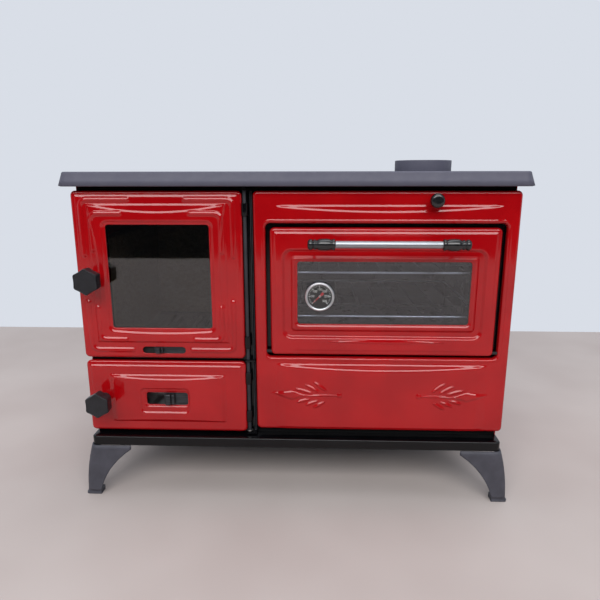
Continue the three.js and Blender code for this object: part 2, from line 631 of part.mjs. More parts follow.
/** The inner sheet of a door, and the rope seal it presses round the opening behind. */
const doorLiner = (door, window) => framed(grown(door, -SHEET - SEAM), window,
  linerFront, linerFront + LINER);
const ropeSeal = (hole) => framed(grown(hole, SEAL_MARGIN + SEAL), grown(hole, SEAL_MARGIN),
  sealFront, PLATE_Y - SEAL_PLAY);

/** A draught slider behind its slot, with a tab that comes through to the front. */
function airSlider(gap, length, tab, tabShift) {
  const x = (gap.x0 + gap.x1) / 2 + tabShift;
  const z = (gap.z0 + gap.z1) / 2;
  const height = gap.z1 - gap.z0;
  const front = SHEET + SEAM;
  const plate = centred(x + (length - tab) / 2 - SLIDER_LAP, z, length, height + 2 * SLIDER_LAP, 2);
  return joined(slab(plate, front, front + SLIDER_PLATE),
    slab(centred(x, z, tab, height - 4 * PLAY, 1), -TAB_REACH, front + SLIDER_PLATE / 2));
}

const fireKnobZ = (firebox.z0 + firebox.z1) / 2;
add('firebox_glass', glassPane(fireWindow), ceramicGlass);
add('firebox_glass_retainer', glassRetainer(fireWindow), darkPaint);
add('firebox_door_liner', cut(doorLiner(firebox, fireWindow), spindleHole(KNOB_X, fireKnobZ)),
  darkPaint);
add('firebox_door_seal', ropeSeal(fireDoorway), ropeGrey);
add('firebox_air_slider', airSlider(slot, SLIDER_LENGTH, SLIDER_TAB, SLIDER_SHIFT), steel);

/** A six-sided knob with hollow flats on a stem, and the spindle behind it. */
function hexKnob(x, z) {
  const shape = new THREE.Shape();
  const corner = KNOB_FLATS / Math.sqrt(3);
  const at = (angle, radius) => [radius * Math.cos(angle), radius * Math.sin(angle)];
  const turn = Math.PI / 3;
  const blunt = KNOB_CORNER / corner / 2;
  for (let i = 0; i < 6; i += 1) {
    const angle = Math.PI / 6 + i * turn;
    const start = at(angle - blunt, corner - KNOB_CORNER * 0.3);
    if (i) shape.lineTo(...start);
    else shape.moveTo(...start);
    shape.quadraticCurveTo(...at(angle, corner), ...at(angle + blunt, corner - KNOB_CORNER * 0.3));
    shape.lineTo(...at(angle + turn / 2, KNOB_FLATS / 2 - KNOB_HOLLOW));
  }
  const head = new THREE.ExtrudeGeometry(shape, {
    depth: KNOB_DEPTH - 2 * KNOB_LIP, bevelThickness: KNOB_LIP, bevelSize: KNOB_LIP,
    bevelOffset: -KNOB_LIP, bevelSegments: 2, curveSegments: 2,
  }).rotateX(Math.PI / 2).translate(x, -KNOB_REACH + KNOB_DEPTH - KNOB_LIP, z);
  return joined(head,
    bar('y', KNOB_STEM, -KNOB_REACH + KNOB_DEPTH - 1, -RIB_RISE - SEAM, x, z),
    bar('y', SPINDLE, -KNOB_STEM, PLATE_BACK + LATCH_PLAY + LATCH_THICKNESS + PLAY, x, z, 16));
}

/** The latch tongue on the end of the spindle, hanging down when it is open. */
function latch(x, z) {
  const front = PLATE_BACK + LATCH_PLAY;
  const tongue = block(x - LATCH_WIDTH / 2, x + LATCH_WIDTH / 2, front, front + LATCH_THICKNESS,
    z - LATCH_LENGTH, z);
  const eye = bar('y', LATCH_WIDTH / 2, front, front + LATCH_THICKNESS, x, z);
  return cut(joined(tongue, eye), bar('y', SPINDLE + SEAM, front - 1,
    front + LATCH_THICKNESS + 1, x, z, 16));
}

for (const [name, area] of [['firebox', firebox], ['ash', ash]]) {
  const z = (area.z0 + area.z1) / 2;
  add(`${name}_knob`, hexKnob(KNOB_X, z), bakelite);
  add(`${name}_latch`, latch(KNOB_X, z), steel);
}

// ---------------------------------------------------------------- ash door
const ashSlot = centred(doorMid, (ash.z0 + ash.z1) / 2 - ASH_SLOT_DROP, ASH_SLOT_WIDTH,
  ASH_SLOT_HEIGHT, WINDOW_CORNER);
const ashRidge = crescent(doorMid, ash.z1 - 2 * OUTER_RIB + RIB_RISE, crescentLength,
  CRESCENT_THICKNESS * 0.7);
add('ash_door_panel', hungDoor(ash, [ashRidge], [windowHole(ashSlot)]), redEnamel);
add('ash_air_slider', airSlider(ashSlot, SLIDER_LENGTH, ASH_TAB, ASH_TAB_SHIFT), steel);

// ---------------------------------------------------------------- hinge of the left doors
const bracketFeet = {
  hinge_bracket_lower: ash.z0 - SEAM - BRACKET_THICKNESS,
  hinge_bracket_middle: (ash.z1 + firebox.z0 - BRACKET_THICKNESS) / 2,
  hinge_bracket_upper: firebox.z1 + SEAM,
};
for (const [name, foot] of Object.entries(bracketFeet)) {
  const top = foot + BRACKET_THICKNESS;
  add(name, cut(solid(block(DOOR_X1 + 2 * SEAM, OVEN_X0 - 2 * SEAM, 0, PLATE_Y - SEAM, foot, top)),
    bar('z', HINGE_ROD + SEAM, foot - 1, top + 1, HINGE_X, HINGE_Y)), steel);
}
add('hinge_rod', bar('z', HINGE_ROD, bracketFeet.hinge_bracket_lower,
  bracketFeet.hinge_bracket_upper + 2 * BRACKET_THICKNESS, HINGE_X, HINGE_Y, 20), steel);

// ---------------------------------------------------------------- firebox and ash chamber
const FIREBOX_FLOOR = firebox.z0 - FIREBOX_DROP;
/** A rectangle about the grate's middle, as a block between two heights. */
const aroundGrate = (width, depth, z0, z1) => block(fireMid - width / 2, fireMid + width / 2,
  grateY - depth / 2, grateY + depth / 2, z0, z1);
add('firebox_floor', cut(
  solid(block(-inWall, fireRight, PLATE_BACK + SEAM, BACK_WALL - SEAM,
    FIREBOX_FLOOR - FRONT_PLATE, FIREBOX_FLOOR)),
  aroundGrate(GRATE_WIDTH - 2 * GRATE_LAP, GRATE_DEPTH - 2 * GRATE_LAP, 0, HOB_HEIGHT),
), darkPaint);

function fireGrate() {
  const z0 = FIREBOX_FLOOR + SEAM;
  const z1 = z0 + GRATE_THICKNESS;
  const pitch = (GRATE_WIDTH - 2 * GRATE_LAP) / GRATE_BARS;
  const slots = Array.from({ length: GRATE_BARS }, (_, i) => {
    const x = fireMid - GRATE_WIDTH / 2 + GRATE_LAP + (i + 0.5) * pitch;
    const half = pitch * 0.28;
    const run = GRATE_DEPTH / 2 - 2 * GRATE_LAP;
    return block(x - half, x + half, grateY - run, grateY + run, z0 - 1, z1 + 1);
  });
  return cut(solid(aroundGrate(GRATE_WIDTH, GRATE_DEPTH, z0, z1)), ...slots);
}

add('fire_grate', fireGrate(), castIron);

const brickFoot = FIREBOX_FLOOR + SEAM;
const brickTop = brickFoot + BRICK_HEIGHT;
const brickBack = BACK_WALL - SEAM - BRICK;
add('firebrick_left', block(-inWall, -inWall + BRICK, FIREBOX_FRONT, brickBack - SEAM,
  brickFoot, brickTop), firebrick);
add('firebrick_right', block(fireRight - BRICK, fireRight, FIREBOX_FRONT, brickBack - SEAM,
  brickFoot, brickTop), firebrick);
add('firebrick_rear', block(-inWall, fireRight, brickBack, brickBack + BRICK,
  brickFoot, brickTop), firebrick);

const panX0 = ashDoorway.x0 + ASH_PAN_PLAY;
const panX1 = ashDoorway.x1 - ASH_PAN_PLAY;
const panFoot = FLOOR_TOP + SEAM;
add('ash_pan', cut(
  solid(block(panX0, panX1, FIREBOX_FRONT, FIREBOX_FRONT + ASH_PAN_DEPTH,
    panFoot, panFoot + ASH_PAN_HEIGHT)),
  block(panX0 + ASH_PAN_SHEET, panX1 - ASH_PAN_SHEET, FIREBOX_FRONT + ASH_PAN_SHEET,
    FIREBOX_FRONT + ASH_PAN_DEPTH - ASH_PAN_SHEET, panFoot + ASH_PAN_SHEET, HOB_HEIGHT),
), steel);

// ---------------------------------------------------------------- oven panel and box
const pinZ = ovenDoor.z0 + OVEN_HINGE_RISE;
/** The oven panel: a pan with a second folded edge round the oven door. */
function ovenFront() {
  const depth = PLATE_Y - SEAM;
  const hollow = cut(
    solid(pressing(grown(ovenPanel, -SHEET), SHEET, depth + 1, PAN_EDGE - SHEET)),
    slab(grown(opening, SHEET), 0, depth + 1),
  );
  const rounding = PAN_EDGE / 2;
  const doorHole = forward(stack([
    [opening, -depth - 1], [opening, -rounding],
    [grown(opening, rounding * 0.3), -rounding * 0.3], [grown(opening, rounding), 0],
    [grown(opening, rounding), 1],
  ]));
  const upperRidge = crescent(OVEN_MID, FRONT_TOP - 2 * OUTER_RIB + RIB_RISE,
    OPENING_WIDTH - OUTER_RIB, CRESCENT_THICKNESS * 0.75);
  const lowerRidge = crescent(OVEN_MID, opening.z0 - OUTER_RIB - RIB_RISE,
    OPENING_WIDTH - 2 * OUTER_RIB, CRESCENT_THICKNESS * 0.75);
  const body = solid(pressing(ovenPanel, 0, depth, PAN_EDGE))
    .add(solid(upperRidge)).add(solid(lowerRidge)).subtract(hollow);
  return cut(body, doorHole, bar('y', DAMPER_ROD + PLAY, -1, depth, DAMPER_X, DAMPER_Z),
    bar('x', OVEN_HINGE_PIN + SEAM, opening.x0 - 2 * SHEET, opening.x1 + 2 * SHEET,
      OVEN_HINGE_Y, pinZ));
}

add('oven_front_panel', ovenFront(), redEnamel);

/** The oven box with a pair of runners for each rack. */
function ovenBox() {
  const shell = cut(
    solid(block(mouth.x0 - OVEN_SHEET, mouth.x1 + OVEN_SHEET, ovenFrontY,
      ovenFrontY + OVEN_DEPTH, mouth.z0 - OVEN_SHEET, mouth.z1 + OVEN_SHEET)),
    block(mouth.x0, mouth.x1, 0, ovenFrontY + OVEN_DEPTH - OVEN_SHEET, mouth.z0, mouth.z1),
  );
  const runners = RACK_HEIGHTS.flatMap((height) => {
    const z1 = mouth.z0 + height;
    const back = ovenFrontY + OVEN_DEPTH - OVEN_SHEET / 2;
    return [
      block(mouth.x0 - OVEN_SHEET / 2, mouth.x0 + RUNNER, ovenFrontY + RACK_SETBACK, back,
        z1 - OVEN_SHEET, z1),
      block(mouth.x1 - RUNNER, mouth.x1 + OVEN_SHEET / 2, ovenFrontY + RACK_SETBACK, back,
        z1 - OVEN_SHEET, z1),
    ];
  });
  return runners.reduce((rest, piece) => rest.add(solid(piece)), shell);
}

add('oven_box', ovenBox(), blackEnamel);

/** A wire rack lying on its runners: two cross wires with the long wires over them. */
function ovenRack(height) {
  const radius = RACK_WIRE / 2;
  const z = mouth.z0 + height + SEAM + radius;
  const x0 = mouth.x0 + 2 * radius;
  const x1 = mouth.x1 - 2 * radius;
  const y0 = ovenFrontY + RACK_SETBACK;
  const y1 = ovenFrontY + OVEN_DEPTH - OVEN_SHEET - RACK_SETBACK;
  const across = [y0 + radius, (y0 + y1) / 2, y1 - radius]
    .map((y) => bar('x', radius, x0, x1, y, z, 6));
  const along = Array.from({ length: RACK_WIRES }, (_, i) => {
    const x = x0 + radius + (i / (RACK_WIRES - 1)) * (x1 - x0 - 2 * radius);
    return bar('y', radius, y0 + radius, y1 - radius, x, z + radius, 6);
  });
  return joined(...across, ...along);
}

RACK_HEIGHTS.forEach((height, i) =>
  add(['oven_rack_lower', 'oven_rack_upper'][i], ovenRack(height), chrome));

// ---------------------------------------------------------------- oven door
add('oven_door_panel', cut(pan(ovenDoor, OVEN_DOOR_DEPTH), windowHole(ovenWindow),
  bar('x', OVEN_HINGE_PIN + PLAY, ovenDoor.x0 - 1, ovenDoor.x1 + 1, OVEN_HINGE_Y, pinZ)),
redEnamel);
for (const [name, door, frame] of [
  ['oven_hinge_pin_left', ovenDoor.x0, opening.x0],
  ['oven_hinge_pin_right', ovenDoor.x1, opening.x1],
]) {
  const inward = Math.sign(door - frame);
  const ends = [door + inward * OVEN_PIN_REACH, frame - inward * OVEN_PIN_REACH];
  add(name, bar('x', OVEN_HINGE_PIN, Math.min(...ends), Math.max(...ends), OVEN_HINGE_Y,
    pinZ, 16), steel);
}
const dialX = ovenWindow.x0 + DIAL_INSET;
const dialZ = (ovenWindow.z0 + ovenWindow.z1) / 2 - DIAL_DROP;
const stemHole = bar('y', DIAL_STEM + SEAM, 0, PAN_DEPTH, dialX, dialZ);
add('oven_glass', cut(solid(glassPane(ovenWindow)), stemHole), ceramicGlass);
add('oven_glass_retainer', glassRetainer(ovenWindow), darkPaint);
add('oven_door_liner', doorLiner(ovenDoor, ovenWindow), darkPaint);
add('oven_door_seal', ropeSeal(mouth), ropeGrey);

// ---------------------------------------------------------------- oven door handle
const handleZ = ovenDoor.z1 - HANDLE_DROP;
const handleX0 = OVEN_MID - HANDLE_LENGTH / 2;
/** Half outline of a grip from its outer button to the end that meets the bar. */
const neckShare = GRIP_NECK / GRIP_RADIUS;
const gripOutline = [
  [0, 0], [0.6, 0], [0.92, 0.03], [1, 0.08], [0.92, 0.13], [neckShare, 0.15], [neckShare, 0.32],
  [0.9, 0.34], [0.98, 0.42], [1, 0.56], [0.98, 0.72], [0.91, 0.86], [0.84, 0.9],
  [0.9, 0.92], [0.9, 1], [0, 1],
].map(([radius, along]) => [radius * GRIP_RADIUS, along * GRIP_LENGTH]);
const postInset = 0.235 * GRIP_LENGTH;
for (const [side, name] of [[1, 'left'], [-1, 'right']]) {
  const end = side > 0 ? handleX0 : handleX0 + HANDLE_LENGTH;
  const grip = turned(gripOutline, 20).rotateY(side * Math.PI / 2);
  add(`handle_grip_${name}`, grip.translate(end, HANDLE_Y, handleZ), bakelite);
  add(`handle_post_${name}`, bar('y', POST_RADIUS, HANDLE_Y + GRIP_NECK + SEAM, -SEAM,
    end + side * postInset, handleZ), blackEnamel);
}
add('handle_bar', bar('x', HANDLE_BAR, handleX0 + GRIP_LENGTH + SEAM,
  handleX0 + HANDLE_LENGTH - GRIP_LENGTH - SEAM, HANDLE_Y, handleZ), chrome);

// ---------------------------------------------------------------- thermometer
/** Turns a body of revolution to face forward about the thermometer's axis. */
const onDial = (points, sides = roundSides) => turned(points, sides).rotateX(Math.PI / 2)
  .translate(dialX, 0, dialZ);
const stemEnd = -retainerFront - RETAINER;
add('thermometer_case', onDial([
  [0, stemEnd], [DIAL_STEM, stemEnd],
  [DIAL_STEM, -SHEET], [DIAL_CASE - DIAL_RIM, -SHEET], [DIAL_CASE, SHEET],
  [DIAL_CASE, DIAL_DEPTH - DIAL_BEVEL], [DIAL_CASE - DIAL_BEVEL, DIAL_DEPTH],
  [DIAL_CASE - DIAL_RIM, DIAL_DEPTH - DIAL_BEVEL / 2], [DIAL_CASE - DIAL_RIM, 0], [0, 0],
]), chrome);
const dialRadius = DIAL_CASE - DIAL_RIM - SEAM;
const dialTop = SEAM + DIAL_SHEET;
add('thermometer_dial', onDial([[0, SEAM], [dialRadius, SEAM], [dialRadius, dialTop], [0, dialTop]]),
  bakelite);
const lensTop = DIAL_DEPTH - DIAL_BEVEL;
add('thermometer_lens', onDial([[0, lensTop - DIAL_LENS], [dialRadius, lensTop - DIAL_LENS],
  [dialRadius, lensTop], [0, lensTop]]), ceramicGlass);
/** The needle at rest points to the cold end of the scale, lower left. */
function needle() {
  const foot = dialTop + SEAM;
  const shape = new THREE.Shape();
  shape.moveTo(-NEEDLE_TAIL, -NEEDLE_ROOT);
  shape.lineTo(NEEDLE_LENGTH, -NEEDLE_TIP);
  shape.lineTo(NEEDLE_LENGTH, NEEDLE_TIP);
  shape.lineTo(-NEEDLE_TAIL, NEEDLE_ROOT);
  const lift = foot + (HUB_HEIGHT - NEEDLE_SHEET) / 2;
  const pointer = new THREE.ExtrudeGeometry(shape, { depth: NEEDLE_SHEET, bevelEnabled: false })
    .rotateZ(Math.PI * 1.25).rotateX(Math.PI / 2).translate(dialX, -lift, dialZ);
  return joined(pointer, bar('y', NEEDLE_HUB, -foot - HUB_HEIGHT, -foot, dialX, dialZ, 16));
}
add('thermometer_needle', needle(), needleRed);

// ---------------------------------------------------------------- damper
const damperTop = HOB_HEIGHT - FLUE_NECK - DAMPER_SINK;
const damperY = FLUE_Y - DAMPER_PLATE_DEPTH / 2;
add('damper_knob', turned([
  [0, 0], [0.55, 0], [0.6, 0.3], [0.9, 0.4], [1, 0.55], [0.92, 0.8], [0.6, 0.95], [0, 1],
].map(([r, z]) => [r * DAMPER_KNOB, z * DAMPER_REACH]), 24)
  .rotateX(Math.PI / 2).translate(DAMPER_X, -SEAM - RIB_RISE, DAMPER_Z), bakelite);
add('damper_rod', bar('y', DAMPER_ROD, -RIB_RISE, damperY - SEAM, DAMPER_X, DAMPER_Z, 16), steel);
add('damper_plate', joined(
  block(FLUE_X - DAMPER_PLATE_WIDTH / 2, FLUE_X + DAMPER_PLATE_WIDTH / 2, damperY,
    damperY + DAMPER_PLATE_DEPTH, damperTop - DAMPER_SHEET, damperTop),
  block(DAMPER_X - 4 * DAMPER_ROD, DAMPER_X + 4 * DAMPER_ROD, damperY, damperY + DAMPER_SHEET,
    DAMPER_Z - 2 * DAMPER_ROD, damperTop),
), steel);

// ---------------------------------------------------------------- frame of the whole
const frontmost = HANDLE_REACH + GRIP_RADIUS;
const backmost = Math.max(HOB_BACK, BASE_BACK + 2 * TOE_LIP);
stove.position.y = (frontmost - backmost) / 2;

export default stove;
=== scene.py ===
"""A wood cookstove: enamelled doors, iron hob, oven, firebox and legs, dressed around its frame."""

import bmesh
import bpy
import numpy as np
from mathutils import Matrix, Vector


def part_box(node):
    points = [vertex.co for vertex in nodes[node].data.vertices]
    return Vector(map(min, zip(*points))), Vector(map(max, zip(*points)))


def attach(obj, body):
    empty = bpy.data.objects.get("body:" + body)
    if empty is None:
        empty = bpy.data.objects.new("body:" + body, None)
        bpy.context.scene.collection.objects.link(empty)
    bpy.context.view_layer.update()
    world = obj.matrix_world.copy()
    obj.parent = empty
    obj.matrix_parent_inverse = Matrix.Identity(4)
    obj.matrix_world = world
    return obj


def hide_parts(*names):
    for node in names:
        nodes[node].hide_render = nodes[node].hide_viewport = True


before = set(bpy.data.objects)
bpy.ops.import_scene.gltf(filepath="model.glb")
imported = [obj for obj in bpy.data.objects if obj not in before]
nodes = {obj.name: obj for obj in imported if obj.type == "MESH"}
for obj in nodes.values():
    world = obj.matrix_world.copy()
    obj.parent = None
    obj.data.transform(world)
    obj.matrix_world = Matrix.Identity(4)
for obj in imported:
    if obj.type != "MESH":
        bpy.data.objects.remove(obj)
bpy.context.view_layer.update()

# ---------------------------------------------------------------- base frame
# A ledge of 2.5 mm steel with a folded skirt that carries the whole body. It is dipped in
# gloss black enamel, so its folded upper edge catches one long bright line.
PLATE_SETBACK = 17.3      # the black front plate lies this far behind the doors' faces
FACE = 1000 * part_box("front_plate")[0].y - PLATE_SETBACK
BASE_SHEET = 2.5
BASE_LEDGE = 45
BASE_CORNER = 9
BASE_FOLD = 3
BASE_BREAK = 0.6          # how far the sheet's cut edges are eased


def place(node):
    """A node's box in millimetres, y counted back from the doors' faces: x0, x1, y0, y1, z0, z1."""
    corners = 1000 * np.array([list(corner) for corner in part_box(node)]) - (0, FACE, 0)
    return tuple(np.round(corners.T.ravel(), 2).tolist())


def centre(box):
    """The middle of a node's box: x, y, z."""
    return [(low + high) / 2 for low, high in zip(box[::2], box[1::2])]


def outlines(areas, across=10, up=10, turn=6):
    """Rounded rectangles as rings. Each row of `areas` is (u0, u1, v0, v1, radius). A ring runs
    anticlockwise from its lower right corner: centre + radius (cos a, sin a) over each quarter
    turn, and equal steps along the straight sides, `across` on level ones and `up` on the rest."""
    u0, u1, v0, v1, r = np.atleast_2d(np.asarray(areas, float)).T[..., None]
    centres = ((u1 - r, v0 + r), (u1 - r, v1 - r), (u0 + r, v1 - r), (u0 + r, v0 + r))
    arcs = []
    for quarter, (cu, cv) in enumerate(centres):
        angle = np.radians(90 * quarter - 90 + np.linspace(0, 90, turn + 1))
        arcs.append(np.stack([cu + r * np.cos(angle), cv + r * np.sin(angle)], -1))
    ring = []
    for quarter, arc in enumerate(arcs):
        share = np.linspace(0, 1, (across if quarter % 2 else up) + 1)[1:-1, None]
        start, end = arc[:, -1:], arcs[(quarter + 1) % 4][:, :1]
        ring += [arc, start + (end - start) * share]
    return np.concatenate(ring, 1)


def grown(area, by):
    """The area with every side moved out by `by`, for one step or an array of them."""
    by = np.asarray(by, float)[..., None]
    wider = np.asarray(area, float) + by * np.array([-1, 1, -1, 1, 1])
    wider[..., 4] = np.maximum(wider[..., 4], 0.4)
    return wider


def eased(corners, setback=2.0, steps=4, closed=True):
    """A polyline with each corner c turned into the parabola (1-t)^2 a + 2t(1-t) c + t^2 b,
    where a and b lie `setback` before and after it on the sides."""
    corners = np.asarray(corners, float)
    setback = np.broadcast_to(setback, len(corners))[:, None]
    ends = []
    for side in (np.roll(corners, 1, 0) - corners, np.roll(corners, -1, 0) - corners):
        length = np.maximum(np.linalg.norm(side, axis=1, keepdims=True), 1e-9)
        ends.append(corners + side / length * np.minimum(setback, length / 2))
    t = np.linspace(0, 1, steps + 1)[None, :, None]
    a, b, c = ends[0][:, None], ends[1][:, None], corners[:, None]
    curve = (1 - t) ** 2 * a + 2 * t * (1 - t) * c + t ** 2 * b
    if closed:
        return curve.reshape(-1, corners.shape[1])
    inner = curve[1:-1].reshape(-1, corners.shape[1])
    return np.vstack([corners[:1], inner, corners[-1:]])


ON_AXES = {"up": [0, 1, 2], "front": [0, 2, 1], "side": [2, 0, 1]}


def stacked(rows, facing="up"):
    """Rings from rows of a flat outline and its height. Facing "up" the outlines lie in x and y,
    facing "front" in x and z, and facing "side" in y and z. The height runs along the third."""
    rings = [np.column_stack([flat, np.full(len(flat), height)]) for flat, height in rows]
    return np.stack(rings)[..., ON_AXES[facing]]


def carried(plan, section, across=10, up=10, turn=6, facing="up"):
    """A closed section carried round a rounded rectangle. Each point of the section is
    (inset, height): the plan's outline moved in by the inset, at that height."""
    inset, height = np.asarray(section, float).T
    return stacked(zip(outlines(grown(plan, -inset), across, up, turn), height), facing)


def skin(grid, around=True, along=False):
    """Four-sided faces between neighbours of a (rows, columns, 3) grid of points. `around` joins
    the last column to the first, and `along` the last row to the first."""
    index = np.arange(grid.shape[0] * grid.shape[1]).reshape(grid.shape[:2])
    index = np.hstack([index, index[:, :1]]) if around else index
    index = np.vstack([index, index[:1]]) if along else index
    quads = np.stack([index[:-1, :-1], index[:-1, 1:], index[1:, 1:], index[1:, :-1]], -1)
    return grid.reshape(-1, 3), quads.reshape(-1, 4)


def capped(grid):
    """The skin of a tube of rings with each end closed by a fan to the middle of its last ring."""
    ends = [np.broadcast_to(ring.mean(0), ring.shape)[None] for ring in (grid[0], grid[-1])]
    return skin(np.concatenate([ends[0], grid, ends[1]]))


def piece(name, body, material, shapes, stands_for=(), sharp=38, sheet=0.0):
    """One piece from (points, faces) shapes in millimetres, with y counted from the doors' faces.
    Doubles are merged. A closed shape has its normals turned outwards, and an open one, given by
    `sheet`, is thickened that many millimetres inwards. It rides on the body in the frame."""
    points, faces, count = [], [], 0
    for shape_points, shape_faces in shapes:
        points.append(shape_points)
        faces.append(shape_faces + count)
        count += len(shape_points)
    points = (np.vstack(points) + (0, FACE, 0)) / 1000
    mesh = bpy.data.meshes.new(name)
    mesh.from_pydata(points.tolist(), [], np.vstack(faces).tolist())
    shell = bmesh.new()
    shell.from_mesh(mesh)
    bmesh.ops.remove_doubles(shell, verts=shell.verts, dist=2e-6)
    bmesh.ops.dissolve_degenerate(shell, edges=shell.edges, dist=1e-7)
    if not sheet:
        bmesh.ops.recalc_face_normals(shell, faces=shell.faces)
    shell.to_mesh(mesh)
    shell.free()
    mesh.polygons.foreach_set("use_smooth", np.ones(len(mesh.polygons), bool))
    mesh.set_sharp_from_angle(angle=np.radians(sharp))
    mesh.materials.append(material)
    made = bpy.data.objects.new(name, mesh)
    bpy.context.scene.collection.objects.link(made)
    if sheet:
        wall = made.modifiers.new("sheet", "SOLIDIFY")
        wall.thickness, wall.offset = sheet / 1000, -1
    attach(made, body)
    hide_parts(*stands_for)
    return made


def srgb(text):
    """'#rrggbb' as linear colour: c / 12.92 up to 0.04045, above it ((c + 0.055) / 1.055) ^ 2.4."""
    value = np.array([int(text[at:at + 2], 16) for at in (1, 3, 5)]) / 255
    linear = np.where(value <= 0.04045, value / 12.92, ((value + 0.055) / 1.055) ** 2.4)
    return (*linear.tolist(), 1.0)


def add(tree, kind, inputs=None, **settings):
    """Adds a node. Each input takes a value, or the output that feeds it."""
    made = tree.nodes.new("ShaderNode" + kind)
    for key, value in settings.items():
        setattr(made, key, value)
    for key, value in (inputs or {}).items():
        if isinstance(value, bpy.types.NodeSocket):
            tree.links.new(value, made.inputs[key])
        else:
            made.inputs[key].default_value = value
    return made


def grain(tree, size, detail=2, packed=1):
    """Noise over the object with lumps `size` millimetres wide. They are packed that many times
    closer along x, or drawn out where it is below 1."""
    where = add(tree, "TexCoord").outputs["Object"]
    scaled = add(tree, "Mapping", {"Vector": where, "Scale": (packed, 1, 1)}).outputs[0]
    inputs = {"Vector": scaled, "Scale": 1000 / size, "Detail": detail}
    return add(tree, "TexNoise", inputs).outputs[0]


def raised(made, pattern, depth):
    """Bumps a material's normal by a pattern `depth` millimetres deep, over any bump before it."""
    normal = made.node_tree.nodes["Principled BSDF"].inputs["Normal"]
    inputs = {"Height": pattern, "Distance": depth / 1000, "Strength": 1.0}
    if normal.is_linked:
        inputs["Normal"] = normal.links[0].from_socket
    made.node_tree.links.new(add(made.node_tree, "Bump", inputs).outputs[0], normal)


def coating(name, tint=None, rough=None, bumps=(), span=(0.35, 0.65), **sockets):
    """A new material, with `sockets` set on its shader. A grain is (size, detail, packing).
    `tint` is a grain and two colours, blended while its noise crosses the span. `rough` is a
    grain and the two roughnesses that it wanders between, and each of `bumps` is a grain and
    its depth in millimetres."""
    made = bpy.data.materials.new(name)
    made.use_nodes = True
    tree = made.node_tree
    shader = tree.nodes["Principled BSDF"]
    for key, value in sockets.items():
        value = srgb(value) if key == "Base_Color" else value
        shader.inputs[key.replace("_", " ")].default_value = value
    if tint:
        share = add(tree, "MapRange", {0: grain(tree, *tint[0]), 1: span[0], 2: span[1]})
        colours = {0: share.outputs[0], 6: srgb(tint[1]), 7: srgb(tint[2])}
        mixed = add(tree, "Mix", colours, data_type="RGBA").outputs[2]
        tree.links.new(mixed, shader.inputs["Base Color"])
    if rough:
        wander = {0: grain(tree, *rough[0]), 1: 0.3, 2: 0.7, 3: rough[1], 4: rough[2]}
        tree.links.new(add(tree, "MapRange", wander).outputs[0], shader.inputs["Roughness"])
    for pattern, depth in bumps:
        raised(made, grain(tree, *pattern), depth)
    return made


# Vitreous enamel fired on sheet steel: a glassy, nearly pure black with a faint orange peel.
black = coating("black_vitreous_enamel", [(40,), "#050507", "#09090c"], [(15,), 0.12, 0.2],
                [[(4,), 0.012]], Specular_IOR_Level=0.3)
x0, x1, y0, y1, z0, z1 = place("base_frame")
base_plan = (x0, x1, y0, y1, BASE_CORNER)
base_section = eased([
    (0, z0), (0, z1), (BASE_LEDGE, z1), (BASE_LEDGE, z1 - BASE_SHEET),
    (BASE_SHEET, z1 - BASE_SHEET), (BASE_SHEET, z0)],
    [BASE_BREAK, BASE_FOLD, BASE_BREAK, BASE_BREAK, 1, BASE_BREAK], 5)
piece("base_frame_skirted", "body", black,
      [skin(carried(base_plan, base_section, 40, 24, 8), along=True)], ["base_frame"])

# ---------------------------------------------------------------- legs
# Four corner legs of 3 mm pressed steel, each bent round its corner. Their fronts stay flush with
# the base and their sides sweep out to a stepped toe. They wear the hob's matt heat-proof grey.
LEG_SHEET = 3.0
LEG_SWEEP = 17            # how far the foot stands out beside the base
LEG_BROW = 8              # straight edge under the base
LEG_SPAN = 79             # width of each face under the base
LEG_BEND = 9
LEG_ROWS = 28             # points down the hollow curve, and across each face
LEG_COLUMNS = 14
TOE_LEVELS = (0, 4.3, 8.6)
TOE_STEP = 2.2            # each step of the toe sideways, and to the front or back
TOE_LIP = 1.2
TOE_WIDTH = 26.5
TOE_DEPTH = 20
HOLLOW_TURN = 0.6         # the hollow curve is pulled towards this share of the leg's height,
HOLLOW_FULL = 18          # and towards a point this far in from the toe


def stove_paint(name, worn, fresh):
    """Matt silicone stove paint: a dull blue-grey with fine grit that scatters every highlight."""
    return coating(name, [(30, 4), worn, fresh], [(12,), 0.5, 0.62], [[(1.6, 3), 0.05]],
                   Specular_IOR_Level=0.35)


def leg_points(right, front):
    """The outer face of one leg. At height z its side stands LEG_SWEEP (1 - (z / top)^2) beside
    the base. Both faces end on a parabola from the toe to the brow, and a quarter circle joins
    them."""
    leg_top = place("leg_front_left")[5]
    t = np.linspace(0, 1, LEG_ROWS)[:, None]
    toes = np.array([TOE_WIDTH - LEG_SWEEP, TOE_DEPTH])
    ends = [(*toes, TOE_LEVELS[2]), (*toes + HOLLOW_FULL, HOLLOW_TURN * leg_top),
            (LEG_SPAN, LEG_SPAN, leg_top - LEG_BROW)]
    foot, turn, brow = np.array(ends, float)
    hollow = (1 - t) ** 2 * foot + 2 * t * (1 - t) * turn + t ** 2 * brow
    hollow = np.vstack([hollow, (LEG_SPAN, LEG_SPAN, leg_top)])
    in_front, beside, z = hollow.T[..., None]
    out = LEG_SWEEP * (1 - (z / leg_top) ** 2)
    u, q = np.linspace(0, 1, LEG_COLUMNS), np.radians(np.linspace(0, 90, 9))[1:-1]
    flush = np.zeros((len(z), len(u)))
    inward_x = np.hstack([in_front + (LEG_BEND - out - in_front) * u,
                          LEG_BEND * (1 - np.sin(q)) - out, flush - out])
    inward_y = np.hstack([flush, LEG_BEND * (1 - np.cos(q)) + 0 * z,
                          LEG_BEND + (beside - LEG_BEND) * u])
    x = (x1 - inward_x) if right else (x0 + inward_x)
    y = (y0 + inward_y) if front else (y1 - inward_y)
    grid = np.stack([x, y, np.broadcast_to(z, x.shape)], -1)
    return grid[:, ::-1] if right == front else grid


